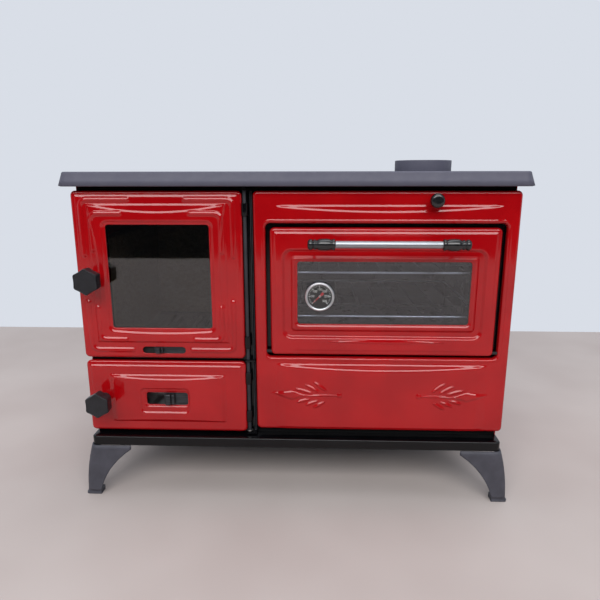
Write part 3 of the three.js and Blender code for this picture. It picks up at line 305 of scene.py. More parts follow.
def toe_points(right, front):
    """A toe as two square steps, each wider than the one above it on its outer sides. A row is a
    step, its height and how far its edge is cut back there. Its ring is the step's four corners,
    with the outer one rounded like the leg's own bend."""
    low, middle, top = TOE_LEVELS
    rows = [(2, low, 0.8), (2, low + 0.8, 0), (2, middle - 0.6, 0), (2, middle, 0.5),
            (1, middle, 0), (1, top - 0.6, 0), (1, top, 0.5), (0.3, top, 0)]
    rings = []
    for step, z, cut in rows:
        far_x = LEG_SWEEP + TOE_STEP * step - cut
        far_y = TOE_LIP * step - cut
        inner_x, inner_y = -(TOE_WIDTH - LEG_SWEEP) - cut, -TOE_DEPTH + cut
        flat = eased([(inner_x, far_y), (far_x, far_y), (far_x, inner_y), (inner_x, inner_y)],
                     [0.8, 0.8 * LEG_BEND, 0.8, 0.8], 8)
        x = (x1 + flat[:, 0]) if right else (x0 - flat[:, 0])
        y = (y0 - flat[:, 1]) if front else (y1 + flat[:, 1])
        rings.append((np.column_stack([x, y]), z))
    return stacked(rings)


paint = stove_paint("matt_stove_paint", "#3e3e46", "#484851")
for end, front in (("front", True), ("back", False)):
    for side, right in (("left", False), ("right", True)):
        node = f"leg_{end}_{side}"
        piece(f"{node}_shaft", "body", paint,
              [skin(leg_points(right, front), around=False)], [node], sheet=LEG_SHEET)
        piece(f"{node}_toe", "body", paint,
              [capped(toe_points(right, front))], [node])

# ---------------------------------------------------------------- body
# Two side panels and a back panel of 2 mm sheet stand on a floor plate and close round a black
# front plate. The sides are red like the doors. The back is black with a shallow pressed field,
# and zinc screws hold it by its rim.
BODY_ROLL = 1.0
SIDE_CORNER = 1.5
SIDE_REACH = 60
BACK_CORNER = 3
BACK_RIM = 30             # flat rim round the back panel's pressed field
BACK_SLOPE = 4
BACK_PRESS = 2.5          # how far that field stands out to the rear
SCREW_INSET = 14
SCREW_HEAD = ((0.01, 0.4), (4.2, 0.4), (4.2, -0.7), (3.4, -1.6), (1.8, -2.1), (0.01, -2.2))


def painted(material, *names):
    """Gives one material to solids that are seen as they are."""
    for name in names:
        nodes[name].data.materials.clear()
        nodes[name].data.materials.append(material)


def turned(profile, middle, axis="up", sides=64, ring=False):
    """A lathe turning. Each point of the profile is (radius, height), and the height runs along z
    for "up", along -y for "front" and along x for "right". A ring has a closed profile."""
    radius, height = np.asarray(profile, float).T
    angle = np.linspace(0, 2 * np.pi, sides, endpoint=False)
    a, b = radius[:, None] * np.cos(angle), radius[:, None] * np.sin(angle)
    h = np.broadcast_to(height[:, None], a.shape)
    grid = {"up": (a, b, h), "front": (a, -h, b), "right": (h, a, b)}[axis]
    grid = np.stack(grid, -1) + np.array(middle, float)
    return skin(grid, along=True) if ring else capped(grid)


def slab(area, low, high, roll, reach, stations=(10, 10, 6), facing="up", steps=3):
    """A flat plate with rounded edges. Its section comes out from `reach` inside one face, rounds
    the edge, and goes back in on the other face."""
    section = eased([(reach, low), (0, low), (0, high), (reach, high)], roll, steps, closed=False)
    return capped(carried(area, section, *stations, facing))


# Vitreous enamel on pressed steel: a deep glassy red that runs a little unevenly over the metal,
# with a soft orange peel that makes the reflections swim.
red = coating("red_vitreous_enamel", [(70,), "#9b060d", "#a60a10"], [(60,), 0.05, 0.11],
              [[(26, 0), 0.04], [(4,), 0.004]], IOR=1.5)
# Matt black stove paint on inner steelwork, a little chalky and worn grey.
inner_black = coating("matt_black_stove_paint", [(20, 5), "#1c1c1e", "#2b2a2a"],
                      [(8,), 0.6, 0.8], [[(1.5, 3), 0.04]], Specular_IOR_Level=0.3)
# Hot-dip galvanised sheet: cool grey with the broad, faintly darker leaves of its spangle.
galvanised = coating("galvanised_sheet", [(16, 0), "#8b8f92", "#a9adb0"],
                     [(16, 0), 0.32, 0.5], span=(0.45, 0.55), Metallic=1.0)
for side in ("left", "right"):
    low, high, *plan = place(f"side_panel_{side}")
    piece(f"side_panel_{side}_enamelled", "body", red,
          [slab((*plan, SIDE_CORNER), low, high, BODY_ROLL, SIDE_REACH, facing="side")],
          [f"side_panel_{side}"])
bx0, bx1, by0, by1, bz0, bz1 = place("back_panel")
back_rows = [((bz1 - bz0) / 2 - 0.5, BACK_PRESS), (BACK_RIM + BACK_SLOPE, BACK_PRESS),
             (BACK_RIM, 0), (0, 0)]
back_section = eased([(inset, by0 + out) for inset, out in back_rows]
                     + [(inset, by1 + out) for inset, out in back_rows[::-1]],
                     BODY_ROLL, 4, closed=False)
piece("back_panel_enamelled", "body", black,
      [capped(carried((bx0, bx1, bz0, bz1, BACK_CORNER), back_section, 30, 20, 4, "front"))],
      ["back_panel"])
screw = eased(SCREW_HEAD, 0.5, 3, closed=False)
piece("back_panel_screws", "body", galvanised, [
    turned(screw, (across, by1, up), "front", 24)
    for across in np.linspace(bx0 + SCREW_INSET, bx1 - SCREW_INSET, 4)
    for up in (bz0 + SCREW_INSET, bz1 - SCREW_INSET)])
painted(inner_black, "floor_plate", "partition", "firebox_floor")
painted(black, "front_plate")

# ---------------------------------------------------------------- firebox
# A slotted cast-iron grate lies in the firebox floor between loose fired-clay bricks, over an ash
# pan of galvanised sheet. All of it is seen only through the glass or with the doors open.
BRICK_CHIP = 2.0
BRICK_CORNER = 2
BRICK_REACH = 14
# Sand-cast iron, blacked: dark, slightly warm, with the pitted skin the sand left.
iron = coating("blacked_cast_iron", [(12, 5), "#242426", "#3a3836"], [(5,), 0.45, 0.65],
               [[(2.2, 4), 0.12], [(9,), 0.15]], Specular_IOR_Level=0.4, Metallic=0.25)
# Pressed and fired chamotte brick: sandy buff with dark specks and a porous, dead matt face.
clay = coating("fired_clay_brick", [(6, 6), "#a98f68", "#c9b48c"], None, [[(2.5, 5), 0.35]],
               span=(0.3, 0.6), Roughness=0.95, Specular_IOR_Level=0.2)
for side in ("left", "right", "rear"):
    *plan, low, high = place(f"firebrick_{side}")
    piece(f"firebrick_{side}_fired", "body", clay,
          [slab((*plan, BRICK_CORNER), low, high, BRICK_CHIP, BRICK_REACH, (30, 30, 3))],
          [f"firebrick_{side}"])
painted(iron, "fire_grate")
painted(galvanised, "ash_pan")

# ---------------------------------------------------------------- oven
# A folded box of black-enamelled sheet with two runners on each side wall. Two chromed wire
# racks lie on the runners; their front wires are the two bright lines behind the glass.
RACK_WIRE = 2.2
RACK_LONG = 9
RACK_CROSS = 3
RACK_CORNER = 14
RACK_END = 2              # the grille's wires end this far inside the rack's box
LONG_WIRE = 0.4           # their radii as shares of the rim's
CROSS_WIRE = 0.5


def chrome(name, colour, roughness):
    """Bright nickel-chrome plate: nearly white reflections, with hardly any colour of its own."""
    return coating(name, rough=[(10,), roughness, roughness + 0.08], Base_Color=colour,
                   Metallic=1.0)


def wire(path, radius, sides=10, closed=False):
    """A round wire along a path of points: rings of p + radius (s cos a + n sin a), where s is
    square to the path and level, and n is square to both."""
    path = np.asarray(path, float)
    ahead = np.roll(path, -1, 0) - np.roll(path, 1, 0) if closed else np.gradient(path, axis=0)
    ahead /= np.linalg.norm(ahead, axis=1, keepdims=True)
    side = np.cross(ahead, (0, 0, 1))
    side /= np.linalg.norm(side, axis=1, keepdims=True)
    normal = np.cross(side, ahead)
    angle = np.linspace(0, 2 * np.pi, sides, endpoint=False)[None, :, None]
    around = np.cos(angle) * side[:, None] + np.sin(angle) * normal[:, None]
    rings = path[:, None] + radius * around
    return skin(rings, along=True) if closed else capped(rings)


# Ground-coat enamel inside the oven: black with fine grey specks, glossy.
speckled = coating("speckled_oven_enamel", [(1.8, 1), "#151517", "#3d3d40"],
                   [(20,), 0.25, 0.35], span=(0.62, 0.7), Coat_Weight=0.3, Coat_Roughness=0.1)
bright_wire = chrome("bright_chrome_wire", "#f2f4f8", 0.3)
# The grille wires are the same bright chrome as the rim; this dark grey copy of it is painted
# shade.
shaded_grille_wire = chrome("painted_shade_grille_wire", "#4c4d50", 0.45)
painted(speckled, "oven_box")
for level in ("lower", "upper"):
    node = f"oven_rack_{level}"
    rx0, rx1, ry0, ry1, rz0, rz1 = place(node)
    middle = (rz0 + rz1) / 2
    plan = grown((rx0, rx1, ry0, ry1, RACK_CORNER + RACK_WIRE), -RACK_WIRE)
    rim = stacked([(outlines(plan, 2, 2, 8)[0], middle)])[0]
    piece(f"{node}_rim", "body", bright_wire,
          [wire(rim, RACK_WIRE, 16, closed=True)], [node])
    near, far, left, right = ry0 + RACK_END, ry1 - RACK_END, rx0 + RACK_END, rx1 - RACK_END
    grille = [wire([(at, near, middle), (at, far, middle)], RACK_WIRE * LONG_WIRE)
              for at in np.linspace(rx0, rx1, RACK_LONG + 2)[1:-1]]
    grille += [wire([(left, at, middle), (right, at, middle)], RACK_WIRE * CROSS_WIRE)
               for at in np.linspace(ry0, ry1, RACK_CROSS + 2)[1:-1]]
    # the grille wires take the darker chrome, a painted shade inside the oven
    piece(f"{node}_grille", "body", shaded_grille_wire, grille, [node])

# ---------------------------------------------------------------- oven panel
# The red front round the oven door is one deep-drawn sheet. Shallow fields with bowed upper
# edges, a rolled rim round the opening and a leaf sprig at each side are pressed into it.
PAN_CORNER = 9
PAN_EDGE = 6
PRESS_SOFT = 5.0          # width of the slopes that the dies leave
PRESS_STEP = 1.6          # height of one pressed step
PRESSED_FACE = 2.0        # the unpressed sheet lies this far behind the foremost plane
OPENING_LIP = 5
PANEL_OPENING = (-52.15, 391.85, 297, 557, 9)
PANEL_FIELDS = (((-40, 389, 530, 589), 1.4), ((-38, 380, 150, 283), 2.3))
PANEL_FADE = 26           # the panel's fields run out this far at their ends
PANEL_BOW = 11
PANEL_RIM = 1.0           # height of the rim round the opening, and its width
PANEL_RIM_WIDTH = 9
SHOULDER = 6.5
SPRIG_RISE = 2.4
SPRIG_LEAF = 7.6          # widths of a leaf and of the stem, and the berry's radius
SPRIG_STEM = 4.4
SPRIG_BERRY = 6
SPRIG_MIDDLE = 167.5      # the two sprigs mirror each other about this line


def smooth(t):
    """The step 3t^2 - 2t^3, 0 below t = 0 and 1 above t = 1."""
    t = np.clip(t, 0, 1)
    return t * t * (3 - 2 * t)


def field(x, z, area, bows=(0, 0, 0, 0), soft=PRESS_SOFT, fade=0):
    """1 inside an area (x0, x1, z0, z1), 0 outside it, across a soft edge. Each side, in the order
    left, right, foot, head, bows inwards by its bow times 1 - s^2, with s from -1 to 1 along it.
    With a fade the left and right sides run out over that width instead."""
    ax0, ax1, az0, az1 = area
    s = np.clip((2 * x - ax0 - ax1) / (ax1 - ax0), -1, 1)
    t = np.clip((2 * z - az0 - az1) / (az1 - az0), -1, 1)
    left, right = x - ax0 - bows[0] * (1 - t * t), ax1 - x - bows[1] * (1 - t * t)
    foot, head = z - az0 - bows[2] * (1 - s * s), az1 - z - bows[3] * (1 - s * s)
    across, upright = np.minimum(left, right), np.minimum(foot, head)
    if fade:
        return smooth(across / fade) * smooth(upright / soft + 0.5)
    return smooth(np.minimum(across, upright) / soft + 0.5)


def shoulder(x, z, outer):
    """How far the face has bent back towards its rolled edge: 1 where the roll starts, and 0
    SHOULDER millimetres further in. It fades out over the lower half, to 0 at the foot."""
    inside = to_rounded(x, z, (*(outer[:4] + np.array([1, -1, 1, -1]) * PAN_EDGE), 4))
    return smooth(1 + inside / SHOULDER) * smooth(2 * (z - outer[2]) / (outer[3] - outer[2]) - 0.4)


def swelled(distance, width):
    """The rounded back of a pressed rib: 1 - |distance / width|^1.5 within half its width, the
    `width` given here, and 0 beyond it."""
    return np.clip(1 - np.abs(distance / width) ** 1.5, 0, 1)


def to_rounded(x, z, area):
    """Signed distance to a rounded rectangle, negative inside: |max(q, 0)| + min(max(q), 0) - r,
    where q is how far the point lies beyond the half sides less r."""
    ax0, ax1, az0, az1, r = area
    qx = np.abs(x - (ax0 + ax1) / 2) - (ax1 - ax0) / 2 + r
    qz = np.abs(z - (az0 + az1) / 2) - (az1 - az0) / 2 + r
    outside = np.hypot(np.maximum(qx, 0), np.maximum(qz, 0))
    return outside + np.minimum(np.maximum(qx, qz), 0) - r


def leaf(x, z, root, tip, width):
    """A raised leaf from root to tip with a rounded back, whose half width is half of `width` times
    (4 s (1 - s))^0.6, with s from 0 to 1 along it."""
    root, tip = np.array(root, float), np.array(tip, float)
    way = tip - root
    s = ((x - root[0]) * way[0] + (z - root[1]) * way[1]) / (way @ way)
    off = np.abs((x - root[0]) * way[1] - (z - root[1]) * way[0]) / np.linalg.norm(way)
    half = width / 2 * (4 * np.clip(s, 0, 1) * (1 - np.clip(s, 0, 1))) ** 0.6
    return swelled(off, np.maximum(half, 0.01)) * np.minimum(half / 1.5, 1)


def kite(x, z, corners, soft=4.5):
    """A faceted bud inside a convex outline given anticlockwise: it rises with the least distance
    to its sides, up to 1 at `soft` millimetres in."""
    corners = np.array(corners, float)
    inside = np.full(x.shape, np.inf)
    for a, b in zip(corners, np.roll(corners, -1, 0)):
        side = b - a
        off = (side[0] * (z - a[1]) - side[1] * (x - a[0])) / np.hypot(*side)
        inside = np.minimum(inside, off)
    return np.clip(inside / soft, 0, 1)


def sprig(x, z):
    """The left leaf sprig, lying on its side: a long bud, a stem with a berry, and three pairs of
    leaves that slant back to the bud. Each form takes the greater height where two meet."""
    forms = [kite(x, z, [(-50, 222.5), (-3, 209), (30, 219), (-2, 231)]),
             leaf(x, z, (10, 219.5), (96, 220), SPRIG_STEM),
             swelled(np.hypot(x - 90, z - 220), SPRIG_BERRY)]
    for root, tip in (((35.5, 224.9), (2.8, 234)), ((50.3, 226.4), (22.2, 243)),
                      ((64.9, 229), (39.1, 248.3)), ((31.9, 212.5), (6.1, 204.9)),
                      ((47.8, 209), (23.2, 199)), ((61.5, 206.8), (38.2, 192.9))):
        forms.append(leaf(x, z, root, tip, SPRIG_LEAF))
    return np.max(forms, 0)


def oven_panel_relief(x, z):
    """How far the panel stands forward: two fields, each a straight step and a bowed one, the rim
    round the opening, and the sprigs."""
    height = np.zeros(x.shape)
    for area, step in PANEL_FIELDS:
        for bow in (0, PANEL_BOW):
            height += step * field(x, z, area, (0, 0, 0, bow), fade=PANEL_FADE)
    height += PANEL_RIM * smooth(
        (PANEL_RIM_WIDTH - to_rounded(x, z, PANEL_OPENING)) / PRESS_SOFT)
    return height + SPRIG_RISE * np.maximum(sprig(x, z), sprig(2 * SPRIG_MIDDLE - x, z))


def pressed(outer, hole, relief, depth, face, shares, across, up, turn=8, edge=PAN_EDGE,
            lip=2.0, wall=0.0):
    """The front of a shallow pressed pan with a hole. The section starts at the back of the outer
    wall, runs forward, turns a quarter circle of radius `edge` onto the face, crosses it in
    `shares` of the way, and turns a quarter circle of radius `lip` and `wall` more into the hole.
    The face lies at y = face - relief(x, z). Returns the rings."""
    outer, hole = np.array(outer, float), np.array(hole, float)
    quarter = np.radians(np.linspace(0, 90, 7))
    rim = carried(outer, [(0, depth)] + np.stack(
        [edge * (1 - np.cos(quarter)), face + edge * (1 - np.sin(quarter))], -1).tolist(),
        across, up, turn, "front")
    first, last = grown(outer, -edge), grown(hole, lip)
    areas = first + (last - first) * np.asarray(shares)[1:, None]
    flat = outlines(areas, across, up, turn)
    front = np.stack([flat[..., 0], face - relief(flat[..., 0], flat[..., 1]), flat[..., 1]], -1)
    step = relief(rim[-1, :, 0], rim[-1, :, 2])
    rim[1:, :, 1] -= step * np.sin(quarter)[:, None]
    turned_in = outlines(grown(hole, lip * (1 - np.sin(quarter[1:]))), across, up, turn)
    deeper = front[-1, :, 1] + lip * (1 - np.cos(quarter[1:]))[:, None]
    inner = np.stack([turned_in[..., 0], deeper, turned_in[..., 1]], -1)
    rings = [rim, front, inner]
    if wall:
        rings.append(inner[-1:] + (0, wall, 0))
    return np.concatenate(rings)


def backed(rings, outer, depth, stations, sheet=2.0):
    """Closes a pressed front with a plain back: from the hole's edge out behind the sheet to the
    wall, and along the wall's inner side to the start."""
    behind = outlines(grown(outer, np.array([-sheet, -sheet])), *stations)
    back = stacked(zip(behind, (PAN_EDGE, depth)), "front")
    return skin(np.concatenate([rings, back]), along=True)


px0, px1, _, py1, pz0, pz1 = place("oven_front_panel")
panel_plan = (px0, px1, pz0, pz1, PAN_CORNER)
panel_stations = (330, 60, 8)
panel_shares = np.concatenate([np.linspace(0, 0.28, 20), np.linspace(0.29, 0.74, 60),
                               np.linspace(0.75, 1, 26)])
panel_rings = pressed(panel_plan, PANEL_OPENING, oven_panel_relief, py1, PRESSED_FACE,
                      panel_shares, *panel_stations, lip=OPENING_LIP, wall=6)
piece("oven_front_panel_pressed", "body", red,
      [backed(panel_rings, panel_plan, py1, panel_stations)], ["oven_front_panel"])

# ---------------------------------------------------------------- hob
# One thick steel plate with a flared skirt, painted matt grey. A cast ring and lid close the hole
# over the fire, and a collar for the stove pipe is screwed over the hole at the back right.
HOB_SHEET = 4
HOB_EDGE = 4
HOB_CORNER = 21
HOB_FLARE = 7
RING_HOLE = 122.4
FLUE_HOLE = 58
COLLAR_WALL = 4
COLLAR_LEDGE = 4          # its foot goes this far into the hole
LID_PLAY = 0.4            # gap between the ring and the lid in it
LIFTER = (22, 9, 3)       # the slot in the lid: length, width and depth
LIFTER_SHARE = 0.6        # its place between the lid's middle and its edge


def punched(points, faces, distance):
    """Drops the faces whose middle lies in a hole, and slides the points left on the border onto
    its edge: p - d grad d, twice over, with d the signed distance to the edge at p."""
    kept = distance(*points[faces].mean(1).T) > 0
    border = np.intersect1d(faces[kept], faces[~kept])
    for _ in range(2):
        edge = points[border]
        here = distance(*edge.T)
        slope = np.stack([(distance(*(edge + step).T) - here) / 0.01
                          for step in np.eye(3) * 0.01], -1)
        points[border] = edge - here[:, None] * slope
    return points, faces[kept]


def tube(bore, radius, low, high, roll):
    """The closed profile of a turned ring with eased edges."""
    return eased([(bore, low), (radius, low), (radius, high), (bore, high)], roll, 3)


def half(box):
    """Half the width of a node's box, the radius of a round one."""
    return (box[1] - box[0]) / 2


hx0, hx1, hy0, hy1, hz0, hz1 = place("hob_plate")
ring_box, flue_box = place("hob_ring"), place("flue_collar")
ring_x, ring_y, _ = centre(ring_box)
flue_x, flue_y, _ = centre(flue_box)
bend = np.radians(np.linspace(0, 90, 8))
skirt = [(0, hz0), (HOB_FLARE * 0.5, (hz0 + hz1 - HOB_EDGE) / 2)]
skirt += np.stack([HOB_FLARE + HOB_EDGE * (1 - np.cos(bend)),
                   hz1 - HOB_EDGE * (1 - np.sin(bend))], -1).tolist()
skirt += [(inset, hz1)
          for inset in np.linspace(HOB_FLARE + HOB_EDGE + 2, (hy1 - hy0) / 2 - 1, 52)]
hob_rings = carried((hx0, hx1, hy0, hy1, HOB_CORNER), skirt, 160, 90, 8)
middle_line = hob_rings[-1:] * (1, 0, 1) + (0, (hy0 + hy1) / 2, 0)
hob_points, hob_faces = skin(np.concatenate([hob_rings, middle_line]))


def hob_holes(x, y, z):
    """Distance to the nearer of the two holes in the hob's top, and far from both on its skirt."""
    to_ring = np.hypot(x - ring_x, y - ring_y) - RING_HOLE
    return np.minimum(to_ring, np.hypot(x - flue_x, y - flue_y) - FLUE_HOLE)


hob_paint = stove_paint("matt_hob_paint", "#515160", "#555563")
piece("hob_plate_skirted", "body", hob_paint,
      [punched(hob_points, hob_faces, hob_holes)], ["hob_plate"], sheet=HOB_SHEET)

lid_radius, under = half(place("hob_lid")), ring_box[4]
ring_profile = tube(lid_radius + LID_PLAY, half(ring_box), under, hz1, 1.0)
piece("hob_ring_cast", "hob_ring", iron,
      [turned(ring_profile, (ring_x, ring_y, 0), sides=128, ring=True)], ["hob_ring"])

# The lid grows from its lifter slot: rings that start round the slot's outline and reach the rim
# along rays from the slot's middle.
slot_length, slot_width, slot_depth = LIFTER
slot_y = ring_y - LIFTER_SHARE * lid_radius
slot_area = np.array([ring_x - slot_length / 2, ring_x + slot_length / 2,
                      slot_y - slot_width / 2, slot_y + slot_width / 2, 3])
slot_steps = [grown(slot_area, by) for by in (-1.5, 0, 0.8)]
slot_rings = outlines(np.stack(slot_steps), 24, 12, 6)
ray = slot_rings[1] - (ring_x, slot_y)
ray /= np.linalg.norm(ray, axis=1, keepdims=True)
across_centre = ray @ (0, slot_y - ring_y)
reach = -across_centre + np.sqrt(across_centre ** 2 - (slot_y - ring_y) ** 2 + lid_radius ** 2)
rim = (ring_x, slot_y) + ray * reach[:, None]
inward = (np.array([ring_x, ring_y]) - rim) / lid_radius
lid_rows = [(slot_rings[0], hz1 - slot_depth), (slot_rings[1], hz1 - slot_depth),
            (slot_rings[1], hz1 - 0.6), (slot_rings[2], hz1), (rim + inward * 1.2, hz1),
            (rim + inward * 0.4, hz1 - 0.3), (rim, hz1 - 1.2), (rim, under)]
piece("hob_lid_cast", "hob_lid", iron, [capped(stacked(lid_rows))], ["hob_lid"])

collar_outer = half(flue_box)
collar_inner = collar_outer - COLLAR_WALL
ledge = collar_inner - COLLAR_LEDGE
collar_profile = eased([
    (ledge, flue_box[4]), (collar_inner - 0.4, flue_box[4]), (collar_inner - 0.4, hz1 + 0.3),
    (collar_outer, hz1 + 0.3), (collar_outer, flue_box[5]), (collar_inner, flue_box[5]),
    (collar_inner, hz1 + 4), (ledge, hz1)], 0.9, 3)
piece("flue_collar_cast", "body", hob_paint,
      [turned(collar_profile, (flue_x, flue_y, 0), sides=128, ring=True)], ["flue_collar"])

# ---------------------------------------------------------------- flue damper
# A sliding plate below the flue is pulled by a rod that ends in a moulded knob. The knob is
# phenolic plastic from a polished mould: black, with sharp small reflections.
KNOB_NECK = 6
# Polished phenolic moulding: deep black and glassy, with faint swirls of the moulding powder.
glossy = coating("moulded_black_phenolic", [(9,), "#0c0c0e", "#17171a"], [(6,), 0.16, 0.24],
                 [[(1.2,), 0.006]], IOR=1.6)
# Turned and zinc-plated mild steel: a cool satin metal, slightly yellowed by handling.
plated = coating("zinc_plated_steel", [(7, 4), "#86888b", "#9d9c98"], [(3, 4), 0.3, 0.45],
                 Metallic=1.0)
damper_box = place("damper_knob")
knob_x, _, knob_z = centre(damper_box)
knob_radius, knob_front, knob_back = half(damper_box), -damper_box[2], -damper_box[3]
knob_profile = eased([
    (0.01, knob_back), (KNOB_NECK, knob_back), (KNOB_NECK - 0.6, knob_back + 8),
    (knob_radius - 0.6, knob_back + 10), (knob_radius + 0.4, knob_front - 6.5),
    (knob_radius - 1.6, knob_front - 1.4), (knob_radius - 6, knob_front), (0.01, knob_front)],
    3.2, 8, closed=False)
piece("damper_knob_moulded", "damper", glossy,
      [turned(knob_profile, (knob_x, 0, knob_z), "front")], ["damper_knob"])
painted(plated, "damper_rod", "damper_plate")

# ---------------------------------------------------------------- hinges
# A long steel rod runs through three folded brackets and the knuckles of both left doors, in the
# black strip beside them, where a folded edge of the front plate shows. A zinc washer sits at the
# rod's foot. Two plain pins carry the oven door at its lower corners.
STRIP_EDGE = (-80.2, -76.2)
STRIP_FRONT = 9.0
STRIP_FOOT = 26           # the strip ends this far over the base, and below the hob
STRIP_HEAD = 10
WASHER = (5.8, 136.4, 139.4)      # radius, and its two faces' heights


def stub(radius, low, high, roll, steps=3):
    """The profile of a plain turned pin with eased ends."""
    corners = [(0.01, low), (radius, low), (radius, high), (0.01, high)]
    return eased(corners, roll, steps, closed=False)


rod = place("hinge_rod")
rod_radius = half(rod)
hinge_x, hinge_y, _ = centre(rod)
# The rod's dark grey paint also colours the folded strip, where it is a painted sheen on the black
# steel.
strip_grey = stove_paint("hinge_paint_and_painted_edge_sheen", "#26272b", "#303137")
piece("hinge_rod_turned", "body", strip_grey,
      [turned(stub(rod_radius, rod[4], rod[5], 0.8), (hinge_x, hinge_y, 0), sides=24)],
      ["hinge_rod"])
strip_area = (*STRIP_EDGE, z0 + STRIP_FOOT, place("hob_plate")[4] - STRIP_HEAD, 0.6)
strip_back = PLATE_SETBACK - 0.1
strip_fold = eased([(0, strip_back), (0, STRIP_FRONT), (1.2, STRIP_FRONT), (1.2, strip_back)],
                   0.5, 3)
# the fold is black steel like the front plate; its dark grey here is a painted sheen along the edge
piece("hinge_strip_folded", "body", strip_grey,
      [skin(carried(strip_area, strip_fold, 4, 30, 3, "front"), along=True)])
piece("hinge_rod_washer", "body", plated,
      [turned(tube(rod_radius + 0.3, *WASHER, 0.6), (hinge_x, hinge_y, 0), sides=40, ring=True)])
painted(black, "hinge_bracket_lower", "hinge_bracket_middle", "hinge_bracket_upper")
painted(inner_black, "oven_hinge_pin_left", "oven_hinge_pin_right")

# ---------------------------------------------------------------- firebox door
# One pressed and enamelled sheet, open at the back, with a square window. Its face rises in two
# bowed steps, and pairs of L-shaped ribs wrap each corner. The air slot is punched below.
WINDOW_BAND = 6.5         # sunk band round the window
BAND_SINK = 2.6
BAND_SOFT = 7.0
RIB_WIDTH = 11
RIB_RISE = 2.4
FIRE_FIELD = (-383, -126, 326, 591)
FIRE_FALL = 1.6           # the face bends back this much before its rolled edge
FIRE_BOWS = (13, 13, 0, 14)
FIRE_DROOP = 4            # the band dips this much lower at the middle of its foot
FIRE_DEPTH = 16           # from the foremost plane to the open back
FIRE_SLOT = (-297, -212, 302.2, 315.8, 6.7)
DOOR_SHEET = 1.1
KNUCKLE = (6.5, 24, 22)   # radius, length, and distance from the door's ends
DOOR_WIDTH = 319          # a left door without its knuckles
GLASS_LAP = 7
FIRE_RIBS = (
    ((-308, 600), (-396, 600), (-396, 497)), ((-199.5, 600), (-112, 600), (-112, 495)),
    ((-396, 405), (-396, 309), (-316, 309)), ((-198, 309), (-115, 309), (-115, 406)),
    ((-323, 575), (-378, 575), (-378, 507)), ((-190, 575), (-134, 575), (-134, 504)),
    ((-378, 394), (-378, 331), (-327, 331)), ((-190, 331), (-137, 331), (-137, 395)))


def to_path(x, z, path):
    """Distance to a polyline: the least over its parts of |p - a - s (b - a)|, with s clipped to
    0..1."""
    least = np.full(x.shape, np.inf)
    for a, b in zip(path[:-1], path[1:]):
        way = b - a
        s = np.clip(((x - a[0]) * way[0] + (z - a[1]) * way[1]) / (way @ way), 0, 1)
        least = np.minimum(least, np.hypot(x - a[0] - s * way[0], z - a[1] - s * way[1]))
    return least


def rib(x, z, corners, turn=14):
    """A round-backed and round-ended rib RIB_WIDTH wide along an L."""
    path = eased(corners, [0] + [turn] * (len(corners) - 2) + [0], 5, closed=False)
    return swelled(to_path(x, z, path), RIB_WIDTH / 2)


fx0, _, _, _, fz0, fz1 = place("firebox_door_panel")
fire_plan = (fx0, fx0 + DOOR_WIDTH, fz0, fz1, PAN_CORNER)


def window(node):
    """The hole in a door's sheet before its pane, whose edges lie GLASS_LAP behind the sheet."""
    pane = place(node)
    return (pane[0] + GLASS_LAP, pane[1] - GLASS_LAP, pane[4] + GLASS_LAP, pane[5] - GLASS_LAP, 5)


fire_window = window("firebox_glass")


def firebox_door_relief(x, z):
    """How far the door's face stands forward: a field in a straight and a bowed step, eight ribs,
    less the band round the window, which dips lower at the middle of its foot."""
    height = PRESS_STEP * (field(x, z, FIRE_FIELD) + field(x, z, FIRE_FIELD, FIRE_BOWS))
    for corners in FIRE_RIBS:
        height += RIB_RISE * rib(x, z, corners)
    height -= FIRE_FALL * shoulder(x, z, fire_plan)
    w0, w1, v0, v1, r = fire_window
    droop = FIRE_DROOP * (1 - np.clip((2 * x - w0 - w1) / (w1 - w0), -1, 1) ** 2) * (z < v0)
    band = (WINDOW_BAND + droop - to_rounded(x, z, fire_window)) / BAND_SOFT
    return height - BAND_SINK * smooth(band + 0.5)


def in_fire_slot(x, y, z):
    """Distance to the edge of the air slot, seen from the front."""
    return to_rounded(x, z, FIRE_SLOT)


fire_rings = pressed(fire_plan, fire_window, firebox_door_relief, FIRE_DEPTH, PRESSED_FACE,
                     np.linspace(0, 1, 76), 200, 200, lip=2.2)
piece("firebox_door_pressed", "firebox_door", red,
      [punched(*skin(fire_rings), in_fire_slot)], ["firebox_door_panel"], sheet=DOOR_SHEET)


def door_knuckles(name, body, low, high):
    """Two rolled hinge knuckles round the rod, near the ends of a left door and riding with it."""
    radius, length, inset = KNUCKLE
    piece(name, body, black, [
        turned(tube(rod_radius + 0.2, radius, foot, foot + length, 0.7), (hinge_x, hinge_y, 0),
               sides=40, ring=True) for foot in (low + inset, high - inset - length)])


door_knuckles("firebox_door_knuckles", "firebox_door", fz0, fz1)


def stove_glass(name, tint, ribs=0.0):
    """Clear glass-ceramic, 4 mm, smoked by use: a dark brown-grey pane that still mirrors the
    room, with fine rolled ribs that many millimetres wide where they are given."""
    made = coating(name, rough=[(45,), 0.0, 0.03], Base_Color=tint, Transmission_Weight=1.0,
                   IOR=1.62)
    if ribs:
        tree = made.node_tree
        # a wave texture makes one band in every 2 pi / 20 of its own length
        inputs = {"Vector": add(tree, "TexCoord").outputs["Object"], "Distortion": 0.4,
                  "Scale": 2 * np.pi / ribs * 1000 / 20}
        raised(made, add(tree, "TexWave", inputs, bands_direction="X").outputs[0], 0.01)
    return made


painted(stove_glass("smoked_glass_ceramic", "#a09fa2", ribs=3.2), "firebox_glass")
painted(inner_black, "firebox_glass_retainer", "firebox_door_liner")


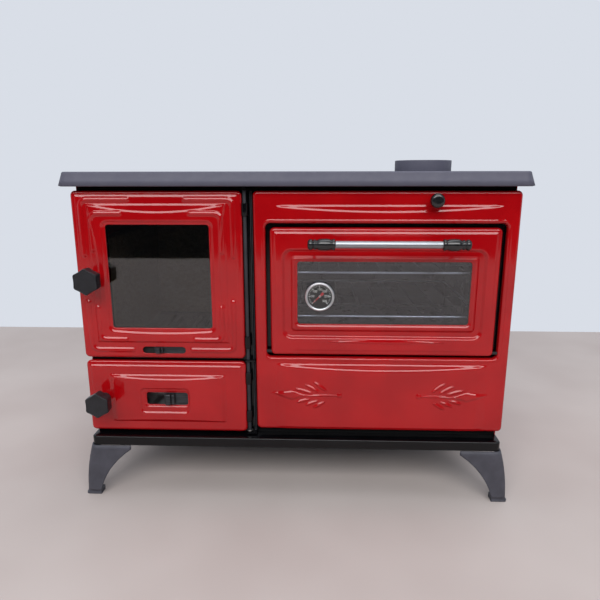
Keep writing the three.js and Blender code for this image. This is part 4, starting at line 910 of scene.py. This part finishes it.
def rope_seal(name, body, node, corner):
    """A rope laid round a door: a ring of 4 mm section whose radius swells by
    0.08 |sin(lay + twice the section's angle)| where its yarns cross."""
    rx0, rx1, ry0, ry1, rz0, rz1 = place(node)
    width = min(4.0, ry1 - ry0)
    plan = grown((rx0, rx1, rz0, rz1, corner + 2), -2)
    line = outlines(plan, 220, 160, 10)[0]
    outward = (np.roll(line, -1, 0) - np.roll(line, 1, 0))[:, ::-1] * (1, -1)
    outward /= np.linalg.norm(outward, axis=1, keepdims=True)
    a = np.linspace(0, 2 * np.pi, 14, endpoint=False)
    lay = np.arange(len(line))[:, None] * np.pi / 3
    swell = width / 2 * (0.92 + 0.08 * np.abs(np.sin(lay + 2 * a)) * np.abs(np.sin(lay - 2 * a)))
    side, depth = swell * np.cos(a), (ry0 + ry1) / 2 + swell * np.sin(a)
    flat = line[:, None] + outward[:, None] * side[..., None]
    grid = np.stack([flat[..., 0], depth, flat[..., 1]], -1)
    piece(name, body, rope, [skin(grid, along=True)], [node])


# Knitted glass-fibre rope, grey-white and sooty, whose yarns cross in a fine diamond pattern.
rope = coating("knitted_glass_fibre", [(3, 4), "#8d887c", "#5f5a50"], None,
               [[(0.8, 3), 0.15]], Roughness=0.95, Sheen_Weight=0.2)
rope_seal("firebox_door_rope", "firebox_door", "firebox_door_seal", 6)

# ---------------------------------------------------------------- door knobs and latches
# Six-sided knobs with hollow flats turn a steel tongue behind the front plate. They are moulded
# in matt black plastic, with a narrow lip round the slightly sunk face.
KNOB_FLATS = 45
KNOB_HOLLOW = 1.2
KNOB_CORNER = 4
KNOB_SIDE = 9             # how far the hollow of a flat reaches each way
KNOB_ROWS = ((0.55, 23), (0.90, 22.6), (0.955, 21.5), (0.97, 20), (0.985, 12), (1.0, 3),
             (0.998, 1.6), (0.975, 0.5), (0.955, 0), (0.93, 0.1), (0.905, 0.9), (0.5, 1.1))


def hexagon(flats, hollow, corner, steps=6):
    """The knob's outline: six corners, and between them the middles of the flats drawn in by the
    hollow."""
    turn = np.radians(np.arange(12) * 30 + 90)
    at_corner = np.arange(12) % 2 == 0
    radius = np.where(at_corner, flats / 2 / np.cos(np.pi / 6), flats / 2 - hollow)
    points = radius[:, None] * np.stack([np.cos(turn), np.sin(turn)], -1)
    return eased(points, np.where(at_corner, corner, KNOB_SIDE), steps)


def door_knob(name, body, node):
    """A knob on its stem. Each of KNOB_ROWS is the outline's scale and its distance behind the
    face: from the stem round the back edge, along the flats, over the lip and onto the face."""
    box = place(node)
    cx, _, cz = centre(box)
    front, back = box[2], box[3]
    outline = hexagon(KNOB_FLATS, KNOB_HOLLOW, KNOB_CORNER)
    rows = [(outline * scale + (cx, cz), front + behind) for scale, behind in KNOB_ROWS]
    stem = eased([(0.01, 28), (8, 28), (9, -front - 24), (9, 3.4), (9.6, 2.3), (0.01, 2.3)],
                 0.8, 3, closed=False)
    spindle = [(0.01, -back), (4, -back), (4, 3), (0.01, 3)]
    piece(name, body, knob_plastic,
          [capped(stacked(rows, "front")), turned(stem, (cx, 0, cz), "front", 32),
           turned(spindle, (cx, 0, cz), "front", 24)], [node], sharp=30)


# Matt moulded phenolic: charcoal, with a fine spark-eroded texture and a low sheen.
knob_plastic = coating("matt_black_phenolic", [(14, 3), "#15161a", "#1c1d22"],
                       [(6,), 0.36, 0.48], [[(0.9,), 0.02]], Specular_IOR_Level=0.45)
door_knob("firebox_knob_moulded", "firebox_latch", "firebox_knob")
door_knob("ash_knob_moulded", "ash_latch", "ash_knob")
painted(plated, "firebox_latch", "ash_latch")

# ---------------------------------------------------------------- air sliders
# Behind each air slot a strip of blued steel slides sideways, moved by a folded tab that stands
# out through the slot. It covers as much of the slot as the fire should not have.
TAB_REACH = 6
SLIDER_SHEET = 1.5
SLOT_PLAY = 1.3           # gap between the tab and the slot's long edges


def air_slider(name, body, node, tab, slot_area):
    """A thin plate behind the slot and its tab, a folded lug whose two wings lean apart a
    little."""
    ax0, ax1, _, ay1, az0, az1 = place(node)
    t0, t1 = tab
    middle, low, high = (t0 + t1) / 2, slot_area[2] + SLOT_PLAY, slot_area[3] - SLOT_PLAY
    plate = slab((ax0, ax1, az0, az1, 2), ay1 - SLIDER_SHEET, ay1, 0.4, (az1 - az0) / 2 - 0.5,
                 (6, 4, 4), "front", 4)
    wing = eased([(0, ay1 - 1), (0, -TAB_REACH + 2), (1.2, -TAB_REACH), (3, -TAB_REACH)],
                 0.8, 3, closed=False)
    left = carried((t0, middle + 1.5, low, high, 2), wing, 4, 4, 4, "front")
    right = carried((middle + 2.1, t1, low + 0.8, high, 2), wing + (0, 1.2), 4, 4, 4, "front")
    piece(name, body, blued, [plate, capped(left), capped(right)], [node])


# Cold-rolled steel blackened by heat: dark, satin, with a brushed grain along its length.
blued = coating("heat_blackened_steel", [(3, 2, 0.1), "#2a2b2e", "#404246"],
                [(2, 2, 0.05), 0.3, 0.5], Metallic=0.7)
air_slider("firebox_air_strip", "firebox_air", "firebox_air_slider", (-270, -255), FIRE_SLOT)

# ---------------------------------------------------------------- ash door
# A smaller pressed door of the same red enamel below. One field is raised on it with a bowed
# head, and a sunk frame with rounded corners surrounds its air slot.
ASH_FIELD = (-371, -133, 158.5, 256.5)
ASH_FRAME = (-306.5, -209.5, 178, 229, 9)
ASH_SLOT = (-296, -213, 193.7, 219.3, 5)
ASH_SINK = 2.6            # how deep the frame is sunk, and how much deeper the slot's lip lies
ASH_LIP = 1.8
ASH_STEP = 2.3
ASH_FADE = 15
ASH_BOWS = (0, 0, 3, 8)
ASH_FALL = 2.5
qx0, _, _, qy1, qz0, qz1 = place("ash_door_panel")
ash_plan = (qx0, qx0 + DOOR_WIDTH, qz0, qz1, PAN_CORNER)


def ash_door_relief(x, z):
    """How far the ash door's face stands forward: a field in a straight and a bowed step, less the
    sunk frame, whose floor drops once more to the lip of the slot."""
    height = ASH_STEP * field(x, z, ASH_FIELD, fade=ASH_FADE)
    height += ASH_STEP * field(x, z, ASH_FIELD, ASH_BOWS, fade=ASH_FADE)
    height -= ASH_FALL * shoulder(x, z, ash_plan)
    height -= ASH_SINK * smooth(-to_rounded(x, z, ASH_FRAME) / 5 + 0.5)
    return height - ASH_LIP * smooth((5.5 - to_rounded(x, z, ASH_SLOT)) / 3.6)


ash_rings = pressed(ash_plan, ASH_SLOT, ash_door_relief, qy1, PRESSED_FACE,
                    np.linspace(0, 1, 72), 210, 90, lip=1.6, wall=1.2)
piece("ash_door_pressed", "ash_door", red, [skin(ash_rings)], ["ash_door_panel"],
      sheet=DOOR_SHEET)
door_knuckles("ash_door_knuckles", "ash_door", qz0, qz1)
air_slider("ash_air_strip", "ash_air", "ash_air_slider", (-257, -238), ASH_SLOT)

# ---------------------------------------------------------------- oven door
# A drop-down door in the opening of the red panel, pressed and enamelled like it. A deep groove
# runs round its long window, with a raised frame inside the groove and a bowed field below.
OVEN_CORNER = 9
OVEN_GROOVE = (-19, 357, 338, 507, 16)
OVEN_FRAME = (-3, 343, 352, 495, 6)
GROOVE_DEPTH = 4.2
GROOVE_SOFT = 7.5
OVEN_FALL = 1.9
OVEN_PROUD = 1.6          # the door's face stands this far out at its middle
OVEN_LENS = (177.5, 330, 113.5, 4.6)      # the pressed lens: middle, half length, half height
LENS_RISE = 1.3
OVEN_FOOT = (4, 336, 290, 330)    # the field below the lens, its upper line, and how deep it lies
FOOT_LINE = 312
FOOT_SINK = 1.2
SILL_DROP = 2.0           # the frame falls this much to the window's edge
ox0, ox1, _, oy1, oz0, oz1 = place("oven_door_panel")
oven_plan = (ox0, ox1, oz0, oz1, OVEN_CORNER)
oven_window = window("oven_glass")


def oven_door_relief(x, z):
    """How far the oven door's face stands forward: the groove between two rounded rectangles, the
    frame's inner slope down to the window, and below it a shallow lens and a field."""
    height = OVEN_PROUD - OVEN_FALL * shoulder(x, z, oven_plan)
    height -= GROOVE_DEPTH * smooth(-to_rounded(x, z, OVEN_GROOVE) / GROOVE_SOFT + 0.5)
    height += (GROOVE_DEPTH + 0.4) * smooth(-to_rounded(x, z, OVEN_FRAME) / GROOVE_SOFT + 0.5)
    height -= SILL_DROP * smooth((6.5 - to_rounded(x, z, oven_window)) / 4.5)
    lens_x, lens_z, length, tall = OVEN_LENS
    s = (x - lens_x) / length
    lens = swelled(z - lens_z, tall * np.clip(1 - s * s, 0.01, 1)) * (np.abs(s) < 1)
    foot = smooth((FOOT_LINE - z) / PRESS_SOFT + 0.5) * field(x, z, OVEN_FOOT, soft=12)
    return height + LENS_RISE * lens - FOOT_SINK * foot


oven_rings = pressed(oven_plan, oven_window, oven_door_relief, oy1, PRESSED_FACE,
                     np.linspace(0, 1, 72), 260, 130, lip=1.6)
piece("oven_door_pressed", "oven_door", red,
      [backed(oven_rings, oven_plan, oy1, (260, 130, 8))], ["oven_door_panel"])
painted(stove_glass("smoked_oven_glass", "#c4c8d2"), "oven_glass")
painted(inner_black, "oven_glass_retainer", "oven_door_liner")
rope_seal("oven_door_rope", "oven_door", "oven_door_seal", 6)

# ---------------------------------------------------------------- oven handle
# A satin chrome tube between two turned grips of black phenolic, held off the door by two steel
# posts. Each grip has a button end, two beads, a swelling barrel and a ferrule at the tube.
GRIP_PROFILE = (
    (0.01, 0), (4.6, 0.2), (7.8, 1.2), (9.3, 3.4), (9.8, 6), (9, 8.6), (7.6, 9.8), (7.4, 10.8),
    (8.6, 11.6), (9.4, 13.2), (8.8, 14.9), (7.9, 15.9), (7.9, 17), (8.9, 18.3), (10.1, 22),
    (10.5, 27), (10.5, 34), (9.9, 38.5), (8.9, 41.6), (8.6, 42.4), (9.4, 43.4), (10, 45.5),
    (9.9, 47.6), (9.2, 48.8), (6.6, 49))


# Chromed tube brushed along its length, so its reflections smear into lines.
brushed = (0.8, 3, 0.01)
satin = coating("satin_chrome_tube", rough=[brushed, 0.36, 0.46], bumps=[[brushed, 0.012]],
                Base_Color="#a3a6ac", Metallic=1.0, Anisotropic=0.4)
bar = place("handle_bar")
_, bar_y, bar_z = centre(bar)
bar_profile = stub((bar[5] - bar[4]) / 2, bar[0], bar[1], 0.5)
piece("handle_bar_brushed", "oven_door", satin,
      [turned(bar_profile, (0, bar_y, bar_z), "right", 48)], ["handle_bar"])
grip_profile = eased(GRIP_PROFILE, 1.2, 4, closed=False)
for side, way in (("left", 1), ("right", -1)):
    grip, post = place(f"handle_grip_{side}"), place(f"handle_post_{side}")
    outwards = grip_profile * (1, way) + (0, grip[0] if way > 0 else grip[1])
    piece(f"handle_grip_{side}_turned", "oven_door", glossy,
          [turned(outwards, (0, bar_y, bar_z), "right", 48)], [f"handle_grip_{side}"])
    wide, back, front = half(post), -post[3], -post[2]
    post_profile = eased([(0.01, back), (wide, back), (wide - 0.8, back + 6),
                          (wide - 0.8, front - 6), (wide, front), (0.01, front)],
                         1.2, 4, closed=False)
    piece(f"handle_post_{side}_turned", "oven_door", black,
          [turned(post_profile, (centre(post)[0], 0, bar_z), "front", 32)],
          [f"handle_post_{side}"])

# ---------------------------------------------------------------- oven thermometer
# A round dial let into the oven glass: a chromed bezel over a black printed disc, white marks
# and plain numbers, a red pointer on a hub, and a clear lens.
DIAL_START = 225          # degrees from +x to the lowest mark, and the sweep to the highest
DIAL_SWEEP = 270
MARKS = 31
NUMBERS = (0, 50, 100, 150, 200, 250, 300)
LONG_MARK = (6.8, 0.6)    # how far in from the rim each mark reaches, and half its width
SHORT_MARK = (4.8, 0.32)
MARK_EDGE = 2.2
FIGURE_SIZE = 6.2
FIGURE_INSET = 10.2
INK = 0.15


def printed(name, colour, rough):
    """A flat ink or enamel film: even colour with a trace of unevenness in its gloss."""
    return coating(name, rough=[(3,), rough, rough + 0.1], Base_Color=colour)


case, disc = place("thermometer_case"), place("thermometer_dial")
dial_x, _, dial_z = centre(case)
case_radius, dial_radius = half(case), half(disc)
on_dial = (dial_x, 0, dial_z)
front = -case[2]
bezel = eased([
    (dial_radius - 0.6, front - 2.6), (dial_radius - 0.2, front - 0.8),
    (dial_radius + 1.2, front - 0.1), (case_radius - 1.6, front), (case_radius, front - 1.8),
    (case_radius, 2.6), (case_radius - 1.6, 2.0), (dial_radius + 0.3, 2.0),
    (dial_radius + 0.3, 5.8)], 0.9, 5)
stem_profile = [(0.01, -case[3]), (4.5, -case[3]), (4.5, 0), (dial_radius, 0),
                (dial_radius, 0.2), (0.01, 0.2)]
piece("thermometer_bezel", "oven_door", chrome("bright_chrome_bezel", "#d9dce0", 0.28),
      [turned(bezel, on_dial, "front", 96, ring=True), turned(stem_profile, on_dial, "front")],
      ["thermometer_case"])
piece("thermometer_disc", "oven_door", printed("black_dial_print", "#0e0e10", 0.45),
      [turned(stub(dial_radius, -disc[3], -disc[2], 0.2, 2), on_dial, "front", 96)],
      ["thermometer_dial"])


def dial_ray(share):
    """The direction on the dial at a share of its sweep, anticlockwise angles from +x."""
    turn = np.radians(DIAL_START - DIAL_SWEEP * share)
    return np.array([np.cos(turn), np.sin(turn)])


white = printed("white_dial_print", "#f2f2ee", 0.5)
ink_back, ink_front = disc[2], disc[2] - INK
marks = []
for mark in range(MARKS):
    ray = dial_ray(mark / (MARKS - 1))
    side = np.array([-ray[1], ray[0]])
    depth, wide = SHORT_MARK if mark % 5 else LONG_MARK
    inner, outer = dial_radius - depth, dial_radius - MARK_EDGE
    stroke = np.array([ray * inner - side * wide, ray * outer - side * wide,
                       ray * outer + side * wide, ray * inner + side * wide])
    stroke += (dial_x, dial_z)
    marks.append(capped(stacked([(stroke, ink_back), (stroke, ink_front)], "front")))
piece("thermometer_marks", "oven_door", white, marks)
for value in NUMBERS:
    text = bpy.data.curves.new("number", "FONT")
    text.body, text.size, text.extrude = str(value), FIGURE_SIZE, INK / 2 - 0.005
    text.align_x, text.align_y = "CENTER", "CENTER"
    holder = bpy.data.objects.new("number", text)
    bpy.context.scene.collection.objects.link(holder)
    bpy.context.view_layer.update()
    solid = holder.evaluated_get(bpy.context.evaluated_depsgraph_get())
    figure = bpy.data.meshes.new_from_object(solid)
    bpy.data.objects.remove(holder)
    flat = np.zeros(len(figure.vertices) * 3)
    figure.vertices.foreach_get("co", flat)
    flat = flat.reshape(-1, 3)
    at = dial_ray(value / NUMBERS[-1]) * (dial_radius - FIGURE_INSET) + (dial_x, dial_z)
    flat = np.column_stack([at[0] + flat[:, 0], ink_front + 0.08 - flat[:, 2],
                            at[1] + flat[:, 1]])
    figure.vertices.foreach_set("co", ((flat + (0, FACE, 0)) / 1000).ravel())
    figure.materials.append(white)
    number = bpy.data.objects.new(f"thermometer_number_{value}", figure)
    bpy.context.scene.collection.objects.link(number)
    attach(number, "oven_door")

lens = place("thermometer_lens")
lens_radius, lens_front = half(lens), -lens[2]
lens_profile = [(0.01, -lens[3]), (lens_radius, -lens[3]), (lens_radius, lens_front - 0.3),
                (lens_radius * 0.7, lens_front - 0.08), (0.01, lens_front)]
clear = coating("clear_lens_glass", rough=[(9,), 0.0, 0.02], Base_Color="#f4f7f8",
                Transmission_Weight=1.0, IOR=1.4)
piece("thermometer_lens_clear", "oven_door", clear,
      [turned(lens_profile, on_dial, "front")], ["thermometer_lens"])

# The pointer is a thin blade with a broad tail, cut from sheet and lacquered red, on a bright hub.
POINTER = ((-9.6, -2.3), (-9.6, 2.3), (-5.5, 2.6), (-2.4, 0.9), (17.2, 0.45), (17.6, 0),
           (17.2, -0.45), (-2.4, -0.9), (-5.5, -2.6))
POINTER_DEPTH = (0.9, 0.3)        # its back and front, behind the needle's foremost plane
HUB_RADIUS = 2.3
needle = place("thermometer_needle")
ahead = dial_ray(0)
blade = np.array(POINTER) @ np.array([ahead, (-ahead[1], ahead[0])]) + (dial_x, dial_z)
blade_rows = [(blade, needle[2] + behind) for behind in POINTER_DEPTH]
piece("thermometer_pointer", "needle", printed("red_pointer_lacquer", "#d3202a", 0.3),
      [capped(stacked(blade_rows, "front"))], ["thermometer_needle"])
hub_profile = eased([(0.01, -needle[3]), (HUB_RADIUS, -needle[3]),
                     (HUB_RADIUS, -needle[2] - 0.4), (0.01, -needle[2])], 0.5, 3, closed=False)
piece("thermometer_hub", "needle", chrome("polished_hub", "#e9dcdc", 0.2),
      [turned(hub_profile, on_dial, "front", 32)], ["thermometer_needle"])

# ---------------------------------------------------------------- studio
# A plain pale floor before a pale wall, in a room that is dim behind the camera, so that the
# enamel mirrors a dark room. One wide soft lamp hangs in front and above, with a weak fill.
PALE_WALL = "#d9dee7"
DIM_ROOM = "#26282c"
WALL_LINE = 1.0           # the floor ends this far behind the stove's middle, in metres
FLOOR_FRONT = -3.3        # and here in front, so that the upper panes mirror the dim room
FLOOR_HALF = 6
SENSOR = 36
FOCAL = 31.9
VIEWPOINT = (0.0485, -1.17505, 0.646)
VIEW_TURN = (76.63, 0.08, 2.08)   # degrees about x, y and z
floor_mesh = bpy.data.meshes.new("studio_floor")
floor_mesh.from_pydata([(across, along, 0) for across, along in (
    (-FLOOR_HALF, FLOOR_FRONT), (FLOOR_HALF, FLOOR_FRONT), (FLOOR_HALF, WALL_LINE),
    (-FLOOR_HALF, WALL_LINE))], [], [(0, 1, 2, 3)])
floor_mesh.materials.append(coating("pale_studio_floor", [(300,), "#b5aaa6", "#bcb2ae"],
                                    Roughness=0.8))
floor = bpy.data.objects.new("studio_floor", floor_mesh)
bpy.context.scene.collection.objects.link(floor)

sky = bpy.data.worlds.new("studio_room")
sky.use_nodes = True
world = sky.node_tree
depth = add(world, "SeparateXYZ", {0: add(world, "TexCoord").outputs["Generated"]}).outputs["Y"]
share = add(world, "MapRange", {0: depth, 1: -0.75, 2: 0.0}, interpolation_type="SMOOTHSTEP")
colours = {0: share.outputs[0], 6: srgb(DIM_ROOM), 7: srgb(PALE_WALL)}
wall = add(world, "Mix", colours, data_type="RGBA").outputs[2]
world.links.new(wall, world.nodes["Background"].inputs["Color"])
bpy.context.scene.world = sky


def lamp(name, place_at, aim, size, power):
    """A square soft lamp at a point in metres, turned to face another."""
    light = bpy.data.lights.new(name, "AREA")
    light.shape, light.size, light.size_y, light.energy = "RECTANGLE", *size, power
    holder = bpy.data.objects.new(name, light)
    holder.location = place_at
    way = np.array(aim) - np.array(place_at)
    holder.rotation_euler = Vector(way.tolist()).to_track_quat("-Z", "Y").to_euler()
    bpy.context.scene.collection.objects.link(holder)


lamp("overhead_softbox", (0.0, -4.4, 3.75), (0, -0.1, 0.4), (7.4, 2.3), 330)
lamp("top_softbox", (0.2, -0.2, 2.6), (0, 0, 0.4), (2.4, 1.2), 14)

camera = bpy.data.cameras.new("photograph_view")
camera.lens, camera.sensor_width = FOCAL, SENSOR
viewer = bpy.data.objects.new("photograph_view", camera)
viewer.location = VIEWPOINT
viewer.rotation_euler = np.radians(VIEW_TURN).tolist()
bpy.context.scene.collection.objects.link(viewer)
bpy.context.scene.camera = viewer
bpy.context.scene.view_settings.view_transform = "Standard"
